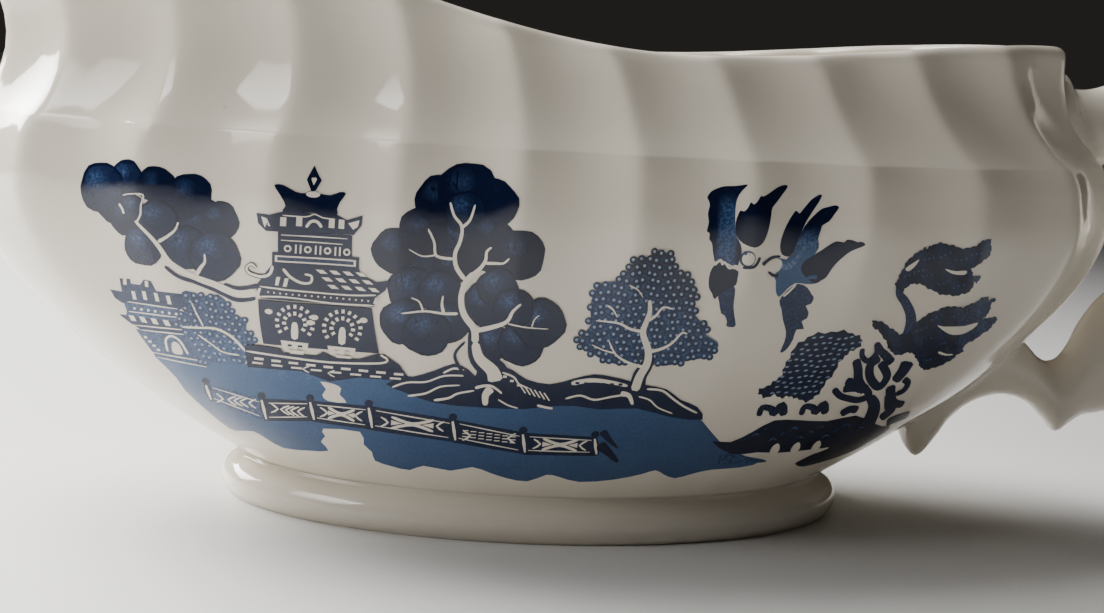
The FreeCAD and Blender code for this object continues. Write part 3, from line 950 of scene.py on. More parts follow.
def draw_pavilion(sheet):
    """The small two-storeyed pavilion at the far left."""
    sheet.shape([
        (-61.7, 35.9), (-60.1, 36), (-60, 35.3), (-58.6, 35.3), (-58, 36.2), (-56.9, 36.1), (-56.2, 34.7),
        (-52.6, 34.7), (-51.6, 33.2), (-53, 32.2), (-61.5, 32.2), (-62.5, 32.8), (-63.2, 34), (-61.4, 33.9)],
        SLATE, steps=1)
    sheet.shape([(-61.2, 32.3), (-53, 32.3), (-52, 29.6), (-61, 29.9), (-60.8, 31)], MIDDLE, steps=1)
    sheet.shape([(-62, 30.3), (-52.4, 30.4), (-51.6, 28.3), (-58.8, 28.3), (-60.6, 29.3)], SLATE, steps=1)
    sheet.shape([(-59.6, 28.3), (-50, 28.3), (-49, 23.8), (-57, 24.4)], MIDDLE, steps=1)
    sheet.marks([(-60.9, 35.5), (-57.6, 35.6)], 0.5, 0.9)
    sheet.marks([(-59.6, 33.6), (-58, 33.8), (-56.2, 33.8), (-54.4, 33.6)], 0.55, 1.25, -0.2)
    sheet.marks([(-60, 30), (-58.4, 30), (-56.7, 30), (-54.9, 30)], 0.8, 0.85, -0.5)
    sheet.marks(row_of((-59.6, 31.6), (-53.4, 31.6), 7), 0.35, 0.35)
    for start, end in (
            ((-60.6, 32.5), (-53.2, 32.4)), ((-60.5, 31.0), (-53, 31.1)), ((-60.2, 28.9), (-51.8, 29.3)),
            ((-58.8, 28.3), (-50.8, 28.6)), ((-57.4, 24.8), (-49.8, 24.6)), ((-56.6, 24.1), (-49.4, 23.7))):
        sheet.stroke([start, end], (0.22, 0.22), steps=2)
    sheet.stroke([(-55.0, 25.4), (-55.2, 27.2), (-54.4, 28.0), (-53.3, 27.6), (-52.6, 26.6), (-52.0, 25.4)],
                 (0.35, 0.35))
    sheet.shape([(-54.2, 25.3), (-54.3, 26.8), (-53.8, 27.2), (-53.1, 26.6), (-52.8, 25.3)], BARE)
    sheet.marks(row_of((-58.2, 27.2), (-56.4, 25.4), 4), 0.5, 0.35)


def draw_berry_bush(sheet):
    """The bush of small berries between the pavilion and the pagoda."""
    edge = [
        (-52.9, 35.2), (-51.4, 35.4), (-49.6, 35), (-47.6, 35.4), (-45.9, 33.9), (-44.8, 32.2), (-43.2, 32.2),
        (-43.4, 30.4), (-42.2, 29.2), (-42, 28.2), (-43.4, 27), (-43.6, 24.6), (-50.4, 24.3), (-51.6, 27.6),
        (-53.6, 29.8), (-53.4, 31.4), (-52.2, 32.6)]
    sheet.balls(edge, 1.08, lambda x, z: mix(SLATE, MIDDLE, smoothstep((31 - z) / 5)), 0.5)
    sheet.stroke([(-52.6, 29.7), (-50, 29.9), (-47.8, 30), (-45.6, 29), (-43.7, 27)], (0.3, 0.4))
    sheet.stroke([(-50.4, 28.8), (-48.6, 27.6), (-46.9, 26.5), (-44.6, 26.3)], (0.2, 0.25))
    sheet.stroke([(-49.6, 30.2), (-50.6, 32.2), (-51.2, 33.6)], (0.25, 0.15))


def draw_flower_window(sheet, x, z):
    """A round-headed window set in a horseshoe of petals, over its step."""
    sheet.level += 1
    for radius, count in ((1.45, 9), (2.45, 13)):
        for k in range(count):
            angle = radians(-35 + 250 * k / (count - 1))
            px, pz = x + radius * cos(angle), z + radius * sin(angle)
            out = Vector((cos(angle), sin(angle))) * 0.27
            side = Vector((-sin(angle), cos(angle))) * 0.2
            corners = [out + side, side - out, -out - side, out - side]
            sheet.outline([(px + c.x, pz + c.y) for c in corners], BARE, rise=False)
    sheet.shape([
        (x - 0.42, z - 2.2), (x + 0.45, z - 2.2), (x + 0.42, z - 0.2), (x, z + 0.2), (x - 0.4, z - 0.2)],
        BARE, steps=2)
    sheet.outline([
        (x - 1.9, z - 2.7), (x + 1.9, z - 2.8), (x + 1.8, z - 3.9), (x + 1.2, z - 3.9), (x + 1.1, z - 3.2),
        (x + 0.5, z - 3.2), (x + 0.4, z - 3.9), (x - 0.2, z - 3.9), (x - 0.4, z - 3.2), (x - 0.9, z - 3.2),
        (x - 1, z - 3.9), (x - 1.6, z - 3.9)], BARE)
    sheet.outline([(x - 0.8, z - 4.0), (x + 1.5, z - 4.0), (x + 1.1, z - 4.9), (x - 0.4, z - 4.9)], BARE)


def draw_pagoda(sheet):
    """The tall pagoda: finial, horned roofs, a storey with a balcony, a tiled roof and an ornate hall."""
    sheet.shape([(-35.2, 53.7), (-34.7, 52.6), (-34.2, 51.8), (-34.9, 50.4), (-35.5, 50.4), (-36.1, 51.8),
                 (-35.7, 52.7)], NAVY, steps=1)
    sheet.shape([(-35.2, 52.6), (-34.8, 51.9), (-35.2, 51.1), (-35.5, 51.9)], BARE, steps=1)
    sheet.shape([
        (-40.1, 50.9), (-38.9, 50.9), (-37.4, 50.1), (-36.2, 50.0), (-35.4, 50.5), (-34.6, 50.1),
        (-33.0, 49.9), (-31.8, 50.4), (-30.9, 50.3), (-31.6, 49.2), (-32.0, 48.2), (-32.1, 47.2),
        (-35.2, 47.5), (-38.9, 47.3), (-38.6, 48.2), (-39.3, 49.6)], NAVY, steps=2)
    sheet.disc(-35.2, 49.9, 0.9, BARE, tall=0.45)
    sheet.shape([
        (-42.4, 47), (-40.6, 46.9), (-39, 47.4), (-32, 47.4), (-30.6, 46.8), (-28.5, 47.6), (-28.6, 46.2),
        (-29.6, 44.9), (-41, 44.7), (-42.1, 45.6)], DARK, steps=1)
    sheet.shape([(-41.7, 46.6), (-40.9, 46.4), (-40.4, 45.4), (-41.2, 45.2)], BARE, steps=1)
    sheet.shape([(-30.4, 46.4), (-28.9, 46.9), (-29.1, 46.0), (-29.7, 45.6)], BARE, steps=1)
    sheet.marks([(-38.8, 46.1), (-36.8, 46.2), (-32.6, 46.2), (-31.3, 46.2)], 0.75, 1.2)
    sheet.stroke([(-35.9, 45.5), (-35.3, 46.3), (-34.5, 46.3), (-33.9, 45.6)], (0.4, 0.4))
    sheet.stroke([(-38.9, 46.95), (-36, 46.9), (-34.9, 47.3), (-33.8, 46.9), (-32.2, 46.8)], (0.16, 0.16))
    sheet.shape([(-39.4, 44.8), (-29.8, 44.8), (-29.7, 41.4), (-39.3, 41.4)], DARK, steps=1)
    for start, end in (
            ((-39, 44.3), (-30.4, 44.3)), ((-39, 43.6), (-31, 43.5)), ((-40, 40.6), (-28.9, 40.7))):
        sheet.stroke([start, end], (0.18, 0.18), steps=2)
    for k, x in enumerate(spaced(-38.1, -30.4, 7)):
        if k % 2:
            sheet.marks([(x - 0.25, 42.5), (x + 0.35, 42.5)], 0.22, 1.2)
        else:
            sheet.disc(x, 42.5, 0.5, BARE, corners=10)
            sheet.disc(x, 42.5, 0.26, NAVY, corners=8)
    sheet.shape([(-40.1, 41.9), (-28.7, 41.9), (-28.7, 40.2), (-40.1, 40.2)], DARK, steps=1)
    sheet.shape([(-39.7, 41.5), (-29.1, 41.5), (-29.1, 40.6), (-39.7, 40.6)], BARE, steps=1)
    sheet.shape([(-39.4, 41.3), (-29.4, 41.3), (-29.4, 40.8), (-39.4, 40.8)], SLATE, steps=1)
    sheet.shape([
        (-39.9, 40.4), (-28.9, 40.4), (-28, 39.4), (-26.2, 38.7), (-24.4, 39.1), (-25, 37.6), (-26.1, 36.7),
        (-26.4, 35.2), (-41.6, 35.2), (-42.4, 36.8), (-41.4, 38.4)], DARK, steps=1)
    for row, z in enumerate((39.6, 38.6, 37.6)):
        sheet.marks(row_of((-33.6 + 0.8 * row, z), (-28.3 + 0.9 * row, z), 4), 0.95, 0.5, -1.3)
    for spiral in (
            [(-38.6, 39.7), (-37.6, 38.6), (-36.2, 37.9), (-35.0, 38.0), (-34.9, 38.9), (-35.8, 39.1)],
            [(-40, 40), (-40.4, 38.8), (-41.6, 38.3), (-43.2, 38.6), (-43.7, 39.3), (-43, 39.9),
             (-42.3, 39.4)]):
        sheet.stroke(spiral, (0.7, 0.5), DARK)
        sheet.stroke(spiral, (0.42, 0.28))
    sheet.marks([(-39.3, 37.9), (-38.2, 37.8)], 0.5, 1.2, 0.2)
    sheet.stroke([(-41.8, 36.9), (-36, 36.7), (-30, 36.6), (-26.2, 36.9)], (0.22, 0.22))
    sheet.stroke([(-42, 35.4), (-38, 35.7), (-32, 35.3), (-26.4, 35.4)], (0.22, 0.22))
    sheet.marks(row_of((-40.6, 36.2), (-27.2, 36.0), 17), 0.22, 0.22)
    sheet.marks([(-41.9, 36.2), (-26.2, 36.1)], 0.4, 0.9, 0.3)
    sheet.shape([(-42, 35), (-26.7, 35), (-25.4, 28.5), (-41.2, 28.5)], DARK, steps=1)
    draw_flower_window(sheet, -36.9, 32.0)
    draw_flower_window(sheet, -30.5, 31.8)
    for x, z in ((-34.3, 33.1), (-34.8, 32.3), (-40.5, 33.4), (-27.7, 33.2)):
        sheet.disc(x, z, 0.55, BARE, tall=0.7, corners=10)
    sheet.shape([
        (-43.8, 28), (-41.8, 28.2), (-38.8, 28), (-38.4, 27.4), (-34, 27.4), (-33, 28.1), (-31.6, 27.4),
        (-28, 27.4), (-26, 28.3), (-24.7, 28.4), (-22.5, 26.9), (-21.2, 25), (-23, 24.6), (-28, 24.6),
        (-32, 23.6), (-36, 24.8), (-43.4, 24.6)], DARK, steps=1)
    sheet.stroke([(-43.6, 27.1), (-38, 26.8), (-32, 26.6), (-25.6, 27.0), (-24.2, 27.6), (-25.2, 28.3)],
                 (0.3, 0.3))
    sheet.marks(row_of((-41.8, 26.1), (-22.6, 25.6), 9), 1.3, 0.35)
    sheet.marks(row_of((-42, 25.4), (-23, 24.9), 8), 1.5, 0.28)
    for x, z in ((-35.4, 25.2), (-31.9, 24.9)):
        sheet.stroke([(x + 0.6, z + 0.5), (x - 0.3, z), (x + 0.6, z - 0.5)], (0.2, 0.2), steps=2)


def draw_lobed_tree(sheet):
    """The great tree in the middle, with large round masses of leaves and forked pale branches."""
    for x, z, radius, tone in (
            (-15.2, 44.8, 4.6, NAVY), (-11.2, 44.6, 3.6, NAVY), (-19.0, 43.2, 3.4, DARK),
            (-16.4, 41.4, 2.6, NAVY), (-24.0, 43.2, 3.1, NAVY), (-7.6, 43.6, 3.5, NAVY),
            (-20.4, 46.0, 3.3, NAVY), (-18.4, 50.2, 3.3, NAVY), (-11.4, 50.2, 3.3, NAVY),
            (-14.8, 51.2, 4.2, NAVY), (-15.0, 48.8, 2.9, DARK), (-11.6, 46.2, 2.6, NAVY),
            (-21.6, 38.0, 3.2, DARK), (-17.8, 37.8, 3.0, DARK), (-11.4, 36.6, 3.4, DARK),
            (-16.4, 33.6, 3.0, DARK), (-22.3, 33.4, 3.3, DARK), (-19.2, 32.0, 3.4, DARK),
            (-10.2, 38.9, 2.8, DARK), (-10.2, 31.0, 2.6, DARK), (-6.4, 31.2, 3.3, DARK),
            (-4.2, 34.2, 3.6, DARK), (-7.9, 36.2, 2.9, DARK)):
        sheet.lobe(x, z, radius, tone)
    trunk = [
        (-9.4, 25.4), (-10, 27), (-11.9, 28.8), (-12.6, 31), (-12.9, 33), (-14.3, 34.8), (-14.9, 37),
        (-14.5, 39.4), (-13.4, 40.8)]
    sheet.stroke([(x + 0.1, z) for x, z in trunk[:5]], (4.4, 1.5), DARK)
    sheet.stroke(trunk[:4], (2.1, 1.0))
    sheet.stroke(trunk[3:], (1.0, 0.65))
    sheet.stroke([(-13.2, 25.6), (-14.6, 27.4), (-15.2, 29.2), (-14, 31)], (0.5, 0.35), DARK)
    for points, widths in (
            ([(-13.5, 40.6), (-12.6, 41.5), (-12.0, 42.6), (-11.9, 43.8), (-11.3, 44.4)], (0.6, 0.25)),
            ([(-12, 42.2), (-10.6, 42.3), (-9.6, 42.4), (-8.9, 43.1)], (0.45, 0.2)),
            ([(-14.6, 39.8), (-15.8, 41.4), (-16.1, 43.2), (-15.5, 45), (-15.4, 46.9), (-16.5, 48.3),
              (-17.1, 50)], (0.65, 0.3)),
            ([(-15.5, 46.7), (-14.4, 47.8), (-13.8, 49.9)], (0.45, 0.25)),
            ([(-16.2, 42.5), (-18.5, 42.8), (-18.9, 44.6), (-19.8, 46.4)], (0.45, 0.25)),
            ([(-18.6, 42.9), (-20.4, 42.7), (-22.2, 43.6)], (0.25, 0.12)),
            ([(-15.2, 35.0), (-17.2, 34.9), (-19.6, 35.1), (-22.7, 34.6)], (0.45, 0.2)),
            ([(-17.1, 35), (-17.4, 36.2), (-17.3, 37.4)], (0.5, 0.2)),
            ([(-19.8, 35), (-20.4, 36.4), (-21.5, 36.9)], (0.3, 0.15)),
            ([(-12.8, 32.7), (-10.4, 33.4), (-8.6, 34.3), (-7.9, 35.8), (-6.9, 36.9)], (0.75, 0.3)),
            ([(-8.4, 34), (-5.8, 33.6), (-2.9, 33.5)], (0.25, 0.12)),
            ([(-5.2, 33.7), (-4.9, 34.8), (-4.3, 35.4)], (0.2, 0.12))):
        sheet.stroke(points, widths)


def draw_rocks(sheet):
    """The rocky ground under the two trees."""
    sheet.shape([
        (-24.3, 23.9), (-21.6, 25), (-19.4, 25.8), (-17.6, 26.6), (-15.2, 27.7), (-13.2, 26.9),
        (-12.2, 26), (-11.9, 27.4), (-10.6, 27.4), (-9.8, 26.3), (-9.4, 27.8), (-7.2, 27.2), (-5.2, 25.9),
        (-2, 25.3), (1.2, 26.3), (4, 27.1), (6.6, 26.8), (9.2, 26.2), (11.4, 25.7), (14.4, 25.1),
        (16.6, 23.5), (19.2, 22.4), (20.4, 20.3), (15.6, 20.7), (10.6, 22), (5.6, 21.7), (2, 22.1),
        (-2, 21.9), (-5, 21.3), (-11, 21.2), (-17.4, 21.5), (-21, 22.6)], DARK, steps=2)
    for points, widths in (
            ([(-23.4, 23.5), (-21.4, 24.4), (-18.8, 24.7), (-16.4, 25.8), (-13.4, 26)], (0.3, 0.25)),
            ([(-21.2, 22.3), (-18.8, 22.9), (-16.8, 24.1), (-14.2, 24.5)], (0.35, 0.2)),
            ([(-17.6, 21.9), (-15.6, 22.4), (-14.4, 23.2), (-12.2, 23.8)], (0.4, 0.25)),
            ([(-16.6, 26.2), (-15.2, 27), (-13.8, 26.8)], (0.3, 0.3)),
            ([(-12.1, 24.2), (-11, 24.6), (-9.8, 24.6), (-8.4, 23.6)], (0.5, 0.3)),
            ([(-9.9, 24.3), (-10.6, 23.2), (-10.5, 21.6)], (1.3, 0.7)),
            ([(-8.8, 22.6), (-7.4, 21.8), (-6, 21.4)], (0.25, 0.2)),
            ([(-8.6, 26.8), (-7, 26.2), (-6.2, 25.2), (-4.8, 24.6)], (0.3, 0.2)),
            ([(0.4, 23.2), (2.4, 23.8), (4.4, 23.2), (6.6, 23.7), (8.4, 24.1)], (0.3, 0.3)),
            ([(8, 24.3), (9.2, 24), (9.9, 22.6)], (0.9, 0.4)),
            ([(1, 25.6), (3.6, 26.2), (6.4, 26), (8.8, 25.5)], (0.75, 0.45)),
            ([(11.6, 25.1), (13.8, 24.9), (15.6, 23.6), (17.4, 22.4), (19.4, 21.4)], (0.35, 0.3)),
            ([(10.6, 23.9), (12.2, 23.4), (13.6, 22.2), (15.8, 21.3)], (0.25, 0.2)),
            ([(-3.4, 22), (-2, 21.7), (-1.2, 21.6)], (0.4, 0.3))):
        sheet.stroke(points, widths)
    sheet.marks(row_of((-5.6, 24.4), (-2.2, 23.4), 6), 0.22, 1.2, -0.7)
    sheet.marks(row_of((1.8, 25.7), (7.8, 25.7), 6), 0.55, 0.35, tone=DARK)
    sheet.marks(row_of((-8.2, 26.2), (-6.2, 25), 3), 0.5, 0.35)


BERRY_TREE = [
    (0.9, 30.8), (1.0, 32.2), (2.2, 34.2), (1.9, 36.8), (2.2, 39), (3.2, 40.6), (5.2, 41), (6.8, 42.8),
    (8.2, 44.8), (9.6, 44.6), (11.2, 45.4), (13, 45), (13.6, 43.2), (15.6, 42.2), (16.8, 40.8),
    (17.2, 38.4), (17.4, 36.2), (18.8, 34.8), (19.4, 33.2), (21.2, 32.2), (21.2, 31), (20.2, 29.8),
    (18.2, 29.4), (16, 28.8), (13.4, 28.2), (11.6, 29), (8, 28.3), (5.6, 28.5), (3.2, 29.6)]


def draw_berry_tree(sheet):
    """The tree of small berries right of the great tree."""
    sheet.balls(BERRY_TREE, 1.12, lambda x, z: mix(SLATE, NAVY, smoothstep((z + 0.4 * x - 40) / 8)), 0.54)
    sheet.stroke([(10.2, 25), (10.3, 27), (11.1, 29), (11, 31)], (2.3, 1.5), DARK)
    for points, widths in (
            ([(9.9, 24.8), (10.3, 27), (11.1, 29), (11, 31), (10, 33.4), (10.3, 35.2), (10.6, 36.6),
              (10.4, 38.2)], (1.3, 0.5)),
            ([(10.4, 35.2), (11.5, 36), (12.4, 37.2), (13.8, 37)], (0.45, 0.2)),
            ([(9.9, 33.7), (8.2, 34), (6.4, 34.8), (3.4, 35)], (0.5, 0.18)),
            ([(11.1, 30.7), (13, 31.3), (14.3, 32.2), (15.4, 33.6), (16.2, 33.5)], (0.5, 0.2)),
            ([(10.8, 28.4), (8.6, 29), (6.6, 30.2), (5.4, 32.2)], (0.5, 0.15)),
            ([(6.4, 30.4), (4.8, 30.8), (3.2, 31.5)], (0.25, 0.12)),
            ([(4.8, 37.2), (5.6, 36.6), (6.2, 35.6)], (0.3, 0.12)),
            ([(7.4, 40.2), (8.6, 39.6), (9.4, 38.6)], (0.2, 0.12))):
        sheet.stroke(points, widths)


# The fence's posts: place, foot and top of each pale post.
FENCE_POSTS = ((-49.4, 18.0, 20.6), (-41.3, 16.0, 19.4), (-34.4, 17.0, 20.0), (-26.2, 16.6, 20.0),
               (-14.5, 15.6, 18.8), (-4.6, 14.2, 17.3), (5.6, 14.3, 17.0))


# The fence's panels with a cross, with a row of chevrons and with louvres, counted from the left.
CROSSED_PANELS, CHEVRON_PANELS, LOUVRED_PANEL = (2, 3, 5), (0, 1), 4


def draw_fence(sheet):
    """The zigzag garden fence: dark panels with pale crosses and chevrons between leaning posts."""
    def chevron(x, z, arms, point):
        sheet.stroke([(x + arms, z + 0.8), (x + point, z), (x + arms, z - 0.8)], (0.3, 0.3), steps=2)

    base = sheet.level
    for k, ((ax, alow, ahigh), (bx, blow, bhigh)) in enumerate(zip(FENCE_POSTS, FENCE_POSTS[1:])):
        sheet.level = base
        panel = [(ax, alow - 0.4), (bx, blow - 0.3), (bx, bhigh + 0.2), (ax, ahigh + 0.2)]
        sheet.shape(panel, MIDDLE if k == 0 else DARK, steps=1)
        for share in (0.12, 0.86):
            rail = [(ax + 0.7, mix(alow, ahigh, share)), (bx - 0.7, mix(blow, bhigh, share))]
            sheet.stroke(rail, (0.2, 0.2), steps=2)
        x, z = (ax + bx) / 2, (alow + ahigh + blow + bhigh) / 4
        reach = (bx - ax) / 2 - 1.1
        if k in CROSSED_PANELS:
            for way in (-1, 1):
                arm = [
                    (x - 0.62 * reach, z + 0.95 * way), (x, z + 0.1 * way),
                    (x + 0.62 * reach, z + 0.95 * way)]
                sheet.stroke(arm, (0.45, 0.45))
                tip, back = x + way * 0.28 * reach, x + way * 0.62 * reach
                sheet.shape([(tip, z), (back, z + 0.42), (back, z - 0.42)], BARE, steps=1)
        if k in CHEVRON_PANELS:
            for step in (-0.3, 0.0, 0.3):
                chevron(x + step * reach, z, 0.9, -0.3)
        if k == LOUVRED_PANEL:
            for rise in (-0.45, 0.05, 0.55):
                louvres = row_of((ax + 1.6, z + rise + 0.3), (bx - 1.6, z + rise - 0.3), 7)
                sheet.marks(louvres, 0.8, 0.14)
        for way in (-1, 1):
            chevron(x + way * reach * 0.82, z, way * 0.5, -way * 0.5)
    base = sheet.level
    for x, low, high in FENCE_POSTS:
        sheet.level = base
        sheet.disc(x - 0.3, high + 0.6, 0.6, DARK, corners=10)
        sheet.stroke([(x - 0.3, high + 0.1), (x + 0.35, low - 0.2)], (1.1, 1.1), DARK, steps=2)
        sheet.stroke([(x - 0.3, high - 0.1), (x + 0.3, low)], (0.5, 0.42), steps=2)
    sheet.stroke([(6.2, 18.2), (7.4, 16.8), (8.8, 15.4)], (1.3, 0.3), DARK)
    sheet.stroke([(6.1, 16), (7.6, 14.6), (9.2, 13)], (1.8, 0.5), NAVY)


def draw_birds(sheet):
    """Two birds in flight, facing each other."""
    def lit_wing(x, z):
        return mix(NAVY, MIDDLE, smoothstep((1.9 - abs(x - 20.3)) / 1.3) * smoothstep((53.4 - z) / 2.5))

    def fading_wing(x, z):
        return mix(NAVY, WASH, smoothstep((50.2 - z) / 5.5))

    for points, tone in (
            ([(22.6, 54.4), (22.1, 53.8), (21.5, 52.9), (21.2, 51.7), (21.2, 50.2), (21.3, 48.8),
              (21.6, 47.3), (22.2, 46.3), (22.4, 45.2), (22.2, 44.1), (21.9, 43.2), (20.9, 43.6),
              (19.7, 44.1), (19, 43.8), (18.8, 44.4), (18.6, 45.2), (18.4, 46.3), (18.0, 46.8),
              (18.0, 47.6), (17.6, 47.9), (17.8, 49.1), (17.6, 50.2), (17.8, 51.3), (17.6, 52),
              (17.4, 52.4), (17.9, 53.2), (18.8, 53.7), (19.7, 54), (20.9, 54.1), (21.9, 54.3)], lit_wing),
            ([(28.6, 54.2), (28.2, 54.5), (27.1, 54.2), (25.9, 53.5), (24.8, 52.9), (24.4, 53), (24, 52.3),
              (23.5, 51.8), (23.1, 52.1), (22.8, 51.4), (22.3, 50.8), (21.8, 50.9), (21.5, 50.1),
              (21.3, 49.1), (21.5, 47.6), (22.1, 46.8), (22.9, 46.3), (24.1, 46), (25, 46.4), (25.6, 47.3),
              (26, 48.8), (26.2, 50.5), (26.3, 51.4), (27.1, 52.3), (27.8, 53.2)], NAVY),
            ([(19.3, 43.6), (20.3, 43.8), (21.3, 43), (22.2, 42.7), (22.2, 41.7), (22.1, 40.8),
              (21.3, 40.1), (20.6, 39.4), (19.9, 39.1), (19.4, 38.6), (19, 39.4), (18.5, 40.2),
              (18.4, 41.7), (18.7, 42.9)], NAVY),
            ([(19.9, 39.1), (20.9, 39.9), (21.9, 40.5), (22.1, 39.4), (22.1, 37.9), (22.4, 36.4),
              (22.8, 35.1), (22.5, 34.7), (21.5, 34.8), (21.5, 35.5), (21, 36.4), (20.5, 36.7),
              (20.1, 38.2)], SLATE),
            ([(27.9, 44.6), (29.1, 44.4), (30.3, 45.4), (31.9, 46), (32.8, 44.6), (31.6, 42.9),
              (32.7, 41.7), (33.8, 41.1), (32.4, 41), (30.9, 41.1), (29.7, 40.2), (28.7, 39.1),
              (28.1, 39.9), (27.9, 41.4), (27.6, 42), (28.1, 43.2)], WASH),
            ([(36.2, 51.7), (35.7, 52), (34.7, 51.7), (33.8, 51.4), (32.7, 50.4), (31.9, 49.5), (31, 48),
              (30, 45.2), (30.9, 44.3), (32.7, 44.6), (33.8, 46.1), (33.6, 47.3), (33.9, 48.5),
              (34.1, 49.2), (35, 49.8), (35.6, 50.7)], fading_wing),
            ([(33.8, 53.3), (33.2, 53.2), (32.3, 52.6), (31.6, 51.8), (31, 51.1), (30.6, 50.7),
              (30.1, 51.1), (29.7, 50.7), (29.1, 49.8), (28.5, 48.6), (28.1, 47.3), (28, 46.1),
              (28.4, 45.1), (29.3, 44.8), (30, 45.2), (30.6, 47), (31.2, 48.5), (31.8, 49.8), (32.6, 51.1),
              (33.4, 52.3)], NAVY),
            ([(40.1, 46.8), (39.6, 47.2), (39.0, 47.1), (38.5, 47.3), (37.6, 47.4), (37.2, 47),
              (36.2, 47.1), (35.3, 46.6), (34.1, 45.7), (32.9, 44.9), (31.8, 44.1), (31.5, 42.9),
              (32.6, 41.7), (33.8, 41.1), (34.6, 41.6), (35.2, 42), (35.7, 42.9), (36.3, 43.9),
              (37.2, 44.9), (38.2, 45.8), (39.4, 46.4)], NAVY),
            ([(31.5, 41), (32.7, 40.5), (33.4, 39.6), (33.8, 39.1), (33.5, 38.2), (32.8, 37.9), (33.3, 37),
              (33.2, 36.1), (32.5, 35.6), (33, 34.5), (31.9, 34.4), (31.6, 32.9), (31, 31.6), (30.4, 31),
              (30, 31.1), (30.4, 32.6), (30.4, 34.1), (29.7, 35.8), (29.3, 37.3), (28.8, 38.5),
              (29.4, 39.6), (30.6, 40.7)], SLATE)):
        sheet.shape(points, tone, steps=2)
    sheet.disc(23.3, 44.4, 1.12, SLATE)
    sheet.disc(23.4, 44.4, 0.9, BARE)
    sheet.disc(22.9, 45.2, 0.3, MIDDLE, corners=8)
    sheet.shape([(26.3, 43.6), (26.9, 44.3), (28.2, 44.4), (28.6, 43.5), (27.9, 42.6), (26.9, 42.7)], BARE)
    for points, widths, tone in (
            ([(25, 44.7), (24.8, 44), (24.2, 43.3), (22.7, 43.2)], (0.45, 0.4), DARK),
            ([(25.6, 43.6), (26.2, 44.2), (27.1, 44.7), (28.2, 44.8)], (0.6, 0.3), DARK),
            ([(26.6, 42.7), (27.3, 42.2), (28.2, 42.1)], (0.3, 0.6), DARK),
            ([(28.6, 43.3), (29.8, 43.6), (30.8, 44.6), (31.8, 46.2)], (1.2, 0.4), 0.84),
            ([(32.4, 41.8), (33.2, 42), (33.9, 42)], (0.4, 0.6), WASH)):
        sheet.stroke(points, widths, tone)
    sheet.stroke(
        [(19, 43.3), (19.7, 44.1), (20, 43.5), (20.3, 43.8), (21, 43), (21.8, 43.4), (22.2, 42.7)],
        (0.3, 0.3))
    sheet.stroke([(29.3, 39.2), (30, 39.8), (31, 40.9)], (0.35, 0.25))


def draw_speckled_leaf(sheet):
    """The large drooping leaf mass with rows of speckles, and the two small stones under it."""
    edge = [
        (27.8, 24.8), (29, 25.8), (30.2, 26.6), (31, 28.2), (31.4, 30.2), (32.6, 32.4), (34.4, 33.6),
        (37, 34.2), (39.8, 34.1), (41.6, 33.4), (42.4, 32.4), (41.2, 31.2), (40, 30.4), (39.2, 28.6),
        (38.2, 26.4), (37.2, 24.4), (36.2, 23.2), (34.4, 23.4), (33.2, 24), (31.8, 23.8), (30.4, 24.2),
        (28.8, 23.9)]
    sheet.shape(edge, DARK, fray=0.3)
    for row in range(11):
        places = [(30 + 1.15 * column + 0.35 * (row % 2) + 0.25 * row + 0.22 * sin(5.1 * column + 3.3 * row),
                   24.6 + 0.86 * row + 0.16 * sin(7.7 * column + row)) for column in range(10)]
        sheet.marks([p for p in places if inside(p[0], p[1] + 0.2, edge) and inside(p[0], p[1] - 0.4, edge)],
                    0.5, 0.27, 0.8, tone=LIGHTEST)
    for x in (28.8, 35.4):
        sheet.stroke([
            (x, 20.8), (x + 0.2, 22.2), (x + 1.6, 22), (x + 2.2, 21.2), (x + 3.2, 22.6), (x + 3.8, 20.8)],
            (0.9, 1.3), DARK)


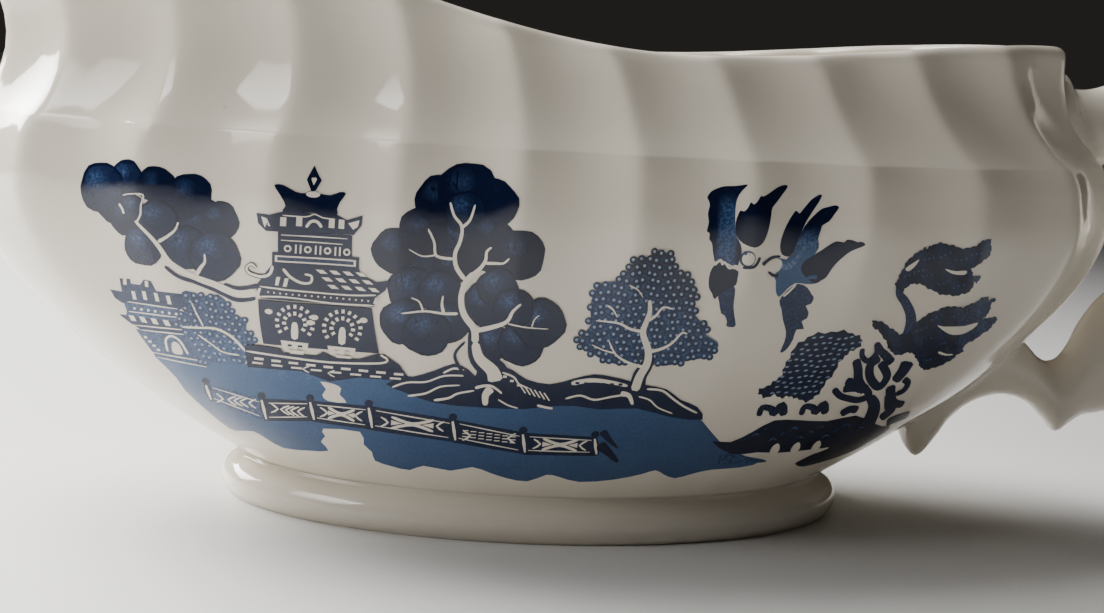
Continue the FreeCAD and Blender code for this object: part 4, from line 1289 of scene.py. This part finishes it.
def draw_bank(sheet):
    """The dark bank at the right with small pale arches, and the shrubs that grow on it."""
    sheet.shape([
        (22.6, 16.6), (25.4, 16.4), (28.4, 18.1), (31.4, 20), (35.4, 19.9), (40, 19.5), (44.6, 20.2),
        (47.6, 18.8), (50.6, 17.4), (52.6, 17), (50, 15.2), (45, 14.4), (40, 14.3), (34, 14.1), (30, 14.4),
        (26, 14.2)], NAVY, steps=2)
    sheet.shape([
        (37.2, 11.6), (38.9, 10.7), (41.9, 11.1), (44.8, 11.7), (47.8, 12.6), (50.7, 14.6), (52.6, 16.6),
        (48, 17.6), (43.4, 15.4), (41.9, 14), (39.8, 13.3), (38.2, 12.4)], NAVY, steps=2)
    sheet.stroke([(24, 13.4), (28, 13.2), (32, 12.6)], (2.2, 0.4), MIDDLE)
    for x in (32.8, 36.2, 39.7):
        sheet.shape(
            [(x - 0.7, 14.2), (x + 0.6, 14.2), (x + 0.7, 15.2), (x + 0.2, 15.9), (x - 0.5, 15.4)], BARE,
            steps=2)
    for k in range(16):
        x = 27.6 + 1.45 * k
        sheet.leaf([
            (x - 0.6, 16.3 + 0.9 * (k % 3)), (x, 16.9 + 0.9 * (k % 3)), (x + 0.7, 16.5 + 0.9 * (k % 3))],
            0.26, MIDDLE if k % 2 else SLATE)
    for points, widths in (
            ([(41.9, 29.8), (42.6, 28.2), (43.1, 26.5), (43.9, 25.3), (44.9, 24.6)], (1.3, 1.7)),
            ([(42.6, 31.5), (42.8, 30.3), (43.9, 29.5), (45, 30.6), (44.9, 32)], (0.8, 1.0)),
            ([(45.7, 30), (44.5, 28.9), (44.7, 27.3), (45.6, 26), (46.9, 25.1), (47.6, 25.9), (47.7, 27),
              (46.9, 28.2), (46, 29.2)], (1.4, 1.3)),
            ([(44.6, 32.3), (45.7, 31), (46.7, 30.2), (47.9, 29)], (1.0, 1.5)),
            ([(41.1, 26.3), (42.2, 26), (43, 25.2), (44.2, 24.6)], (1.4, 1.1)),
            ([(39.5, 25.1), (40.8, 23.9), (42.5, 23.3), (44.2, 23), (45.6, 23.6), (45, 24.6), (43.8, 25),
              (42.4, 25.1), (41, 25)], (1.0, 1.3)),
            ([(45.8, 23.5), (47, 22.2), (47.5, 20.4), (47.4, 17.8)], (1.3, 2.9)),
            ([(50.6, 29.2), (50.2, 27.6), (49.3, 25.9)], (2.4, 1.7)),
            ([(50.8, 26.2), (51.8, 25.5), (51.6, 24.2), (50.4, 23.6)], (1.1, 1.0)),
            ([(48.9, 25.2), (49.6, 23.2), (50.8, 21.9), (52.7, 21.5)], (1.7, 1.3)),
            ([(49.3, 24), (50, 21.8), (50.6, 20.6), (49.4, 19.1)], (2.0, 1.8)),
            ([(51.1, 18), (52.8, 18.7), (54.9, 19.2)], (2.1, 1.5)),
            ([(41.9, 20.6), (43.2, 21.4), (44.6, 21.2)], (1.4, 1.3))):
        sheet.stroke(points, widths, DARK)


def draw_sprigs(sheet):
    """The willow sprigs at the right: two great curled leaves and a small one on a bent stalk."""
    def dappled(x, z):
        return DARK + 0.05 * sin(1.6 * x + 0.8 * z) + 0.14 * smoothstep((x - 55) / 8)

    sheet.stroke(
        [(46.8, 41), (47, 39.7), (48.1, 38.5), (49.2, 36.8), (49.6, 35), (49.4, 33)], (1.0, 1.9), SLATE)
    for points in (
            [(46.1, 40.9), (46.3, 41.7), (46.7, 42.7), (47.3, 44), (48.2, 45.1), (49.5, 45.9), (50.2, 46.5),
             (50.6, 46.2), (51.1, 46.7), (52.5, 47.1), (53.9, 46.9), (55.4, 46.5), (56.9, 46.5), (58.1, 47.1),
             (59.1, 47.7), (60.4, 47.7), (60.5, 46.9), (60.9, 46.2), (60.4, 45.1), (59.2, 44.4), (57.6, 43.4),
             (57.9, 42.9), (58.3, 42.3), (59.4, 42.5), (59.7, 41.9), (59.1, 41.3), (58.5, 41.5), (58.6, 40.6),
             (57.8, 39.9), (56.3, 39.5), (54.8, 39.5), (53.3, 39.7), (51.9, 40.3), (50.4, 41), (49.2, 41.2),
             (48.3, 40.9), (47.8, 40.4), (47.2, 39.9)],
            [(49.8, 34.6), (51.3, 36.2), (52.5, 36.9), (53.9, 37.5), (55.4, 37.9), (57.2, 37.6), (58.7, 37.9),
             (60.1, 38.4), (61.3, 39), (62.2, 39), (62.6, 38.5), (63.7, 38.8), (63.8, 38.3), (63.1, 37.8),
             (63.2, 36.8), (62.6, 35.9), (62.3, 35.5), (63.5, 35.7), (64.7, 35.7), (65, 35.3), (64.5, 34.4),
             (63.7, 33.5), (61.9, 32.3), (60.4, 31.5), (60, 30.9), (60.3, 30.3), (59.2, 29.7), (58.3, 28.8),
             (56.6, 28.1), (54.8, 27.6), (53.5, 27.8), (52.8, 28.5), (51.9, 29.6), (51.1, 30.4), (50.1, 30.9),
             (49.4, 32.4)],
            [(43.2, 35.6), (43.8, 35.8), (45.4, 35.3), (46.9, 34.4), (48.1, 33.7), (49.6, 33.4), (50.6, 31.4),
             (49.2, 30.3), (47.6, 30.7), (46.7, 31.6), (46.1, 32.6), (44.8, 34), (43.7, 34.7)]):
        sheet.shape(points, dappled, fray=0.16)
    for points in (
            [(53.6, 43.4), (55.1, 43.1), (56.8, 43.2), (56.6, 42.6), (54.8, 42.7)],
            [(47.4, 43.4), (48.4, 44.1), (49.5, 44.7), (48.9, 43.7), (47.9, 43)],
            [(53.9, 34.9), (55.1, 34.7), (57.2, 34.6), (59.2, 34.6), (61.4, 35), (61, 34.2), (59.5, 33.4),
             (58, 33.2), (56.6, 33.4), (55.1, 34.1)]):
        sheet.shape(points, BARE)
    sheet.stroke([(55.5, 30.5), (57, 30), (58.4, 29.9)], (0.4, 0.2))
    for x, z in (
            (48.2, 42.4), (49.6, 43), (51, 44.8), (53.4, 45.4), (55.8, 44.8), (58, 45.6), (51, 42.4),
            (53.6, 41.4), (56, 40.8), (51.4, 34.4), (53.4, 36.2), (56.4, 36.4), (59.4, 36.8), (52.6, 32.6),
            (55.4, 31.8), (58.2, 31.8), (54.4, 29.4)):
        sheet.marks(
            [(x + 0.7 * k, z + 0.24 * k + 0.12 * sin(9 * x + 5 * k)) for k in (-1, 0, 1)], 0.26, 0.22, 0.5,
            tone=WASH)


MOTIFS = {
    "ground_wash": (draw_wash, 0), "leaning_tree": (draw_leaning_tree, 4), "pavilion": (draw_pavilion, 4),
    "berry_bush": (draw_berry_bush, 24), "pagoda": (draw_pagoda, 36), "lobed_tree": (draw_lobed_tree, 4),
    "rocks": (draw_rocks, 44), "berry_tree": (draw_berry_tree, 64), "fence": (draw_fence, 4),
    "birds": (draw_birds, 4), "speckled_leaf": (draw_speckled_leaf, 4), "bank": (draw_bank, 4),
    "sprigs": (draw_sprigs, 24),
}


def print_motifs(scene, names):
    """Lays the named motifs on both sides of the boat."""
    hull = Hull(scene.gravy_body)
    materials = [cobalt_print(scene.gravy_colours), ivory_glaze(scene.gravy_colours)]
    for name in names:
        draw, level = MOTIFS[name]
        for side in (0, 1):
            sheet = Sheet(hull, side, level)
            draw(sheet)
            sheet.finish(name, materials)


# ---------------------------------------------------------------- stage

DAYLIGHT, ROOM = (1.0, 0.99, 0.975), (1.0, 0.94, 0.86)
ROOM_SHADE = (0.018, 0.017, 0.0155, 1.0)
FLOOR_HALF_SIZE = 3.0
# Lights: name, place, aim, size, spread in degrees, power in watts and colour.
LIGHTS = (
    ("window_high", (-0.60, 0.20, 0.90), (-0.35, -0.10, 0.0), (0.8, 0.8), 60, 3.6, DAYLIGHT),
    ("window_low", (-0.45, 0.30, 0.30), (-0.20, 0.0, 0.0), (0.4, 0.3), 100, 4.8, DAYLIGHT),
    ("window_pane", (-0.60, -0.25, 0.50), (-0.25, -0.10, 0.0), (0.3, 0.3), 70, 0.45, DAYLIGHT),
    ("soft_top", (-0.35, 0.20, 0.80), (-0.05, 0.0, 0.04), (0.4, 0.4), 180, 0.15, DAYLIGHT),
    ("wide_top", (-0.25, -0.45, 1.15), (0.0, 0.0, 0.04), (1.4, 1.0), 180, 0.25, ROOM),
)


def add_light(factor, name, place, target, size, spread, power, colour):
    """A square-edged soft light aimed at a place."""
    data = bpy.data.lights.new(name, "AREA")
    data.shape = "RECTANGLE"
    data.size, data.size_y = size
    data.spread = radians(spread)
    data.energy = factor * power
    data.color = colour
    light = bpy.data.objects.new(name, data)
    light.location = place
    light.rotation_euler = (Vector(target) - Vector(place)).to_track_quat("-Z", "Y").to_euler()
    bpy.context.scene.collection.objects.link(light)


def build_floor(colours):
    """A large plain floor."""
    bm = bmesh.new()
    bmesh.ops.create_grid(bm, x_segments=8, y_segments=8, size=FLOOR_HALF_SIZE)
    mesh = bpy.data.meshes.new("floor")
    bm.to_mesh(mesh)
    bm.free()
    floor = bpy.data.objects.new("floor", mesh)
    bpy.context.scene.collection.objects.link(floor)
    material = bpy.data.materials.new("floor_paint")
    material.use_nodes = True
    tree = material.node_tree
    place = add_node(tree, "ShaderNodeTexCoord").outputs["Object"]
    cloud = maths(tree, "MULTIPLY", noise_at(tree, place, scale=5.0, detail=3.0), 0.06)
    shade = tuple(0.9 * part for part in colours.floor[:3]) + (1.0,)
    shader = tree.nodes["Principled BSDF"]
    tree.links.new(colour_mix(tree, cloud, tuple(colours.floor), shade), shader.inputs["Base Color"])
    shader.inputs["Roughness"].default_value = 0.42
    mesh.materials.append(material)
    floor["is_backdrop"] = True


# Where the camera stands, and its turn towards the handle, its tilt down and its roll in degrees.
CAMERA_PLACE = (-0.0337, -0.25874, 0.0709)
CAMERA_YAW, CAMERA_PITCH, CAMERA_ROLL = 6.0, 8.85, 3.46
SENSOR_WIDTH = 36.0


def build_camera(settings):
    """The camera looks a little down on the long side, turned a few degrees towards the handle."""
    yaw, pitch, roll = radians(CAMERA_YAW), radians(CAMERA_PITCH), radians(CAMERA_ROLL)
    ahead = Vector((sin(yaw) * cos(pitch), cos(yaw) * cos(pitch), -sin(pitch)))
    right = Vector((cos(yaw), -sin(yaw), 0.0))
    up = right.cross(ahead)
    across = right * cos(roll) + up * sin(roll)
    top = up * cos(roll) - right * sin(roll)
    data = bpy.data.cameras.new("camera")
    data.lens = settings.lens
    data.sensor_width = SENSOR_WIDTH
    data.clip_start, data.clip_end = 0.01, 20.0
    camera = bpy.data.objects.new("camera", data)
    turn = Matrix((across, top, -ahead)).transposed().to_4x4()
    camera.matrix_world = Matrix.Translation(CAMERA_PLACE) @ turn
    bpy.context.scene.collection.objects.link(camera)
    bpy.context.scene.camera = camera


# ---------------------------------------------------------------- operators

class GRAVY_OT_stage(bpy.types.Operator):
    """Add the floor, the lights and the camera"""
    bl_idname = "gravy.stage"
    bl_label = "Stage"

    def execute(self, context):
        settings = context.scene.gravy_stage
        build_floor(context.scene.gravy_colours)
        for light in LIGHTS:
            add_light(settings.power, *light)
        world = bpy.data.worlds.new("room")
        world.use_nodes = True
        world.node_tree.nodes["Background"].inputs["Color"].default_value = ROOM_SHADE
        context.scene.world = world
        build_camera(settings)
        return {"FINISHED"}


class GRAVY_OT_bowl(bpy.types.Operator):
    """Add the fluted bowl with its spout"""
    bl_idname = "gravy.bowl"
    bl_label = "Bowl"

    def execute(self, context):
        scene = context.scene
        build_bowl(Hull(scene.gravy_body), ivory_glaze(scene.gravy_colours))
        return {"FINISHED"}


class GRAVY_OT_foot(bpy.types.Operator):
    """Add the foot ring"""
    bl_idname = "gravy.foot"
    bl_label = "Foot ring"

    def execute(self, context):
        scene = context.scene
        build_foot(Hull(scene.gravy_body), scene.gravy_foot, ivory_glaze(scene.gravy_colours))
        return {"FINISHED"}


class GRAVY_OT_handle(bpy.types.Operator):
    """Add the cusped loop handle"""
    bl_idname = "gravy.handle"
    bl_label = "Handle"

    def execute(self, context):
        scene = context.scene
        build_handle(Hull(scene.gravy_body), scene.gravy_handle, ivory_glaze(scene.gravy_colours))
        return {"FINISHED"}


class GRAVY_OT_print_ground(bpy.types.Operator):
    """Print the ground wash, the rocks, the fence and the bank"""
    bl_idname = "gravy.print_ground"
    bl_label = "Printed ground"

    def execute(self, context):
        print_motifs(context.scene, ("ground_wash", "rocks", "fence", "bank"))
        return {"FINISHED"}


class GRAVY_OT_print_trees(bpy.types.Operator):
    """Print the trees and the bush"""
    bl_idname = "gravy.print_trees"
    bl_label = "Printed trees"

    def execute(self, context):
        print_motifs(context.scene, ("leaning_tree", "lobed_tree", "berry_tree", "berry_bush"))
        return {"FINISHED"}


class GRAVY_OT_print_buildings(bpy.types.Operator):
    """Print the pagoda and the pavilion"""
    bl_idname = "gravy.print_buildings"
    bl_label = "Printed buildings"

    def execute(self, context):
        print_motifs(context.scene, ("pagoda", "pavilion"))
        return {"FINISHED"}


class GRAVY_OT_print_birds(bpy.types.Operator):
    """Print the two birds"""
    bl_idname = "gravy.print_birds"
    bl_label = "Printed birds"

    def execute(self, context):
        print_motifs(context.scene, ("birds",))
        return {"FINISHED"}


class GRAVY_OT_print_leaves(bpy.types.Operator):
    """Print the large leaf and the willow sprigs"""
    bl_idname = "gravy.print_leaves"
    bl_label = "Printed leaves"

    def execute(self, context):
        print_motifs(context.scene, ("speckled_leaf", "sprigs"))
        return {"FINISHED"}


OPERATORS = (
    GRAVY_OT_stage, GRAVY_OT_bowl, GRAVY_OT_foot, GRAVY_OT_handle, GRAVY_OT_print_ground,
    GRAVY_OT_print_trees, GRAVY_OT_print_buildings, GRAVY_OT_print_birds, GRAVY_OT_print_leaves,
)


class GRAVY_PT_panel(bpy.types.Panel):
    """Buttons for the gravy boat's pieces"""
    bl_idname = "GRAVY_PT_panel"
    bl_label = "Gravy boat"
    bl_space_type = "VIEW_3D"
    bl_region_type = "UI"
    bl_category = "Gravy Boat"

    def draw(self, context):
        for operator in OPERATORS:
            self.layout.operator(operator.bl_idname)
        for name, group in SETTINGS:
            settings = getattr(context.scene, name)
            box = self.layout.box()
            for prop in group.__annotations__:
                box.prop(settings, prop)


def register():
    """Adds the settings, the operators and the panel."""
    for name, group in SETTINGS:
        bpy.utils.register_class(group)
        setattr(bpy.types.Scene, name, PointerProperty(type=group))
    for operator in OPERATORS:
        bpy.utils.register_class(operator)
    bpy.utils.register_class(GRAVY_PT_panel)


def unregister():
    """Takes them away again."""
    bpy.utils.unregister_class(GRAVY_PT_panel)
    for operator in reversed(OPERATORS):
        bpy.utils.unregister_class(operator)
    for name, group in reversed(SETTINGS):
        delattr(bpy.types.Scene, name)
        bpy.utils.unregister_class(group)


def main():
    """Builds the stage and every piece, and measures the CAD box and the finished model's box."""
    register()
    bpy.ops.gravy.stage()
    bpy.ops.gravy.bowl()
    bpy.ops.gravy.foot()
    bpy.ops.gravy.handle()
    bpy.ops.gravy.print_ground()
    bpy.ops.gravy.print_trees()
    bpy.ops.gravy.print_buildings()
    bpy.ops.gravy.print_birds()
    bpy.ops.gravy.print_leaves()
    boxes = {"cad": CAD_BOX, "visual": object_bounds()}
    {name: [list(corner) for corner in box] for name, box in boxes.items()}


if __name__ == "__main__":
    main()
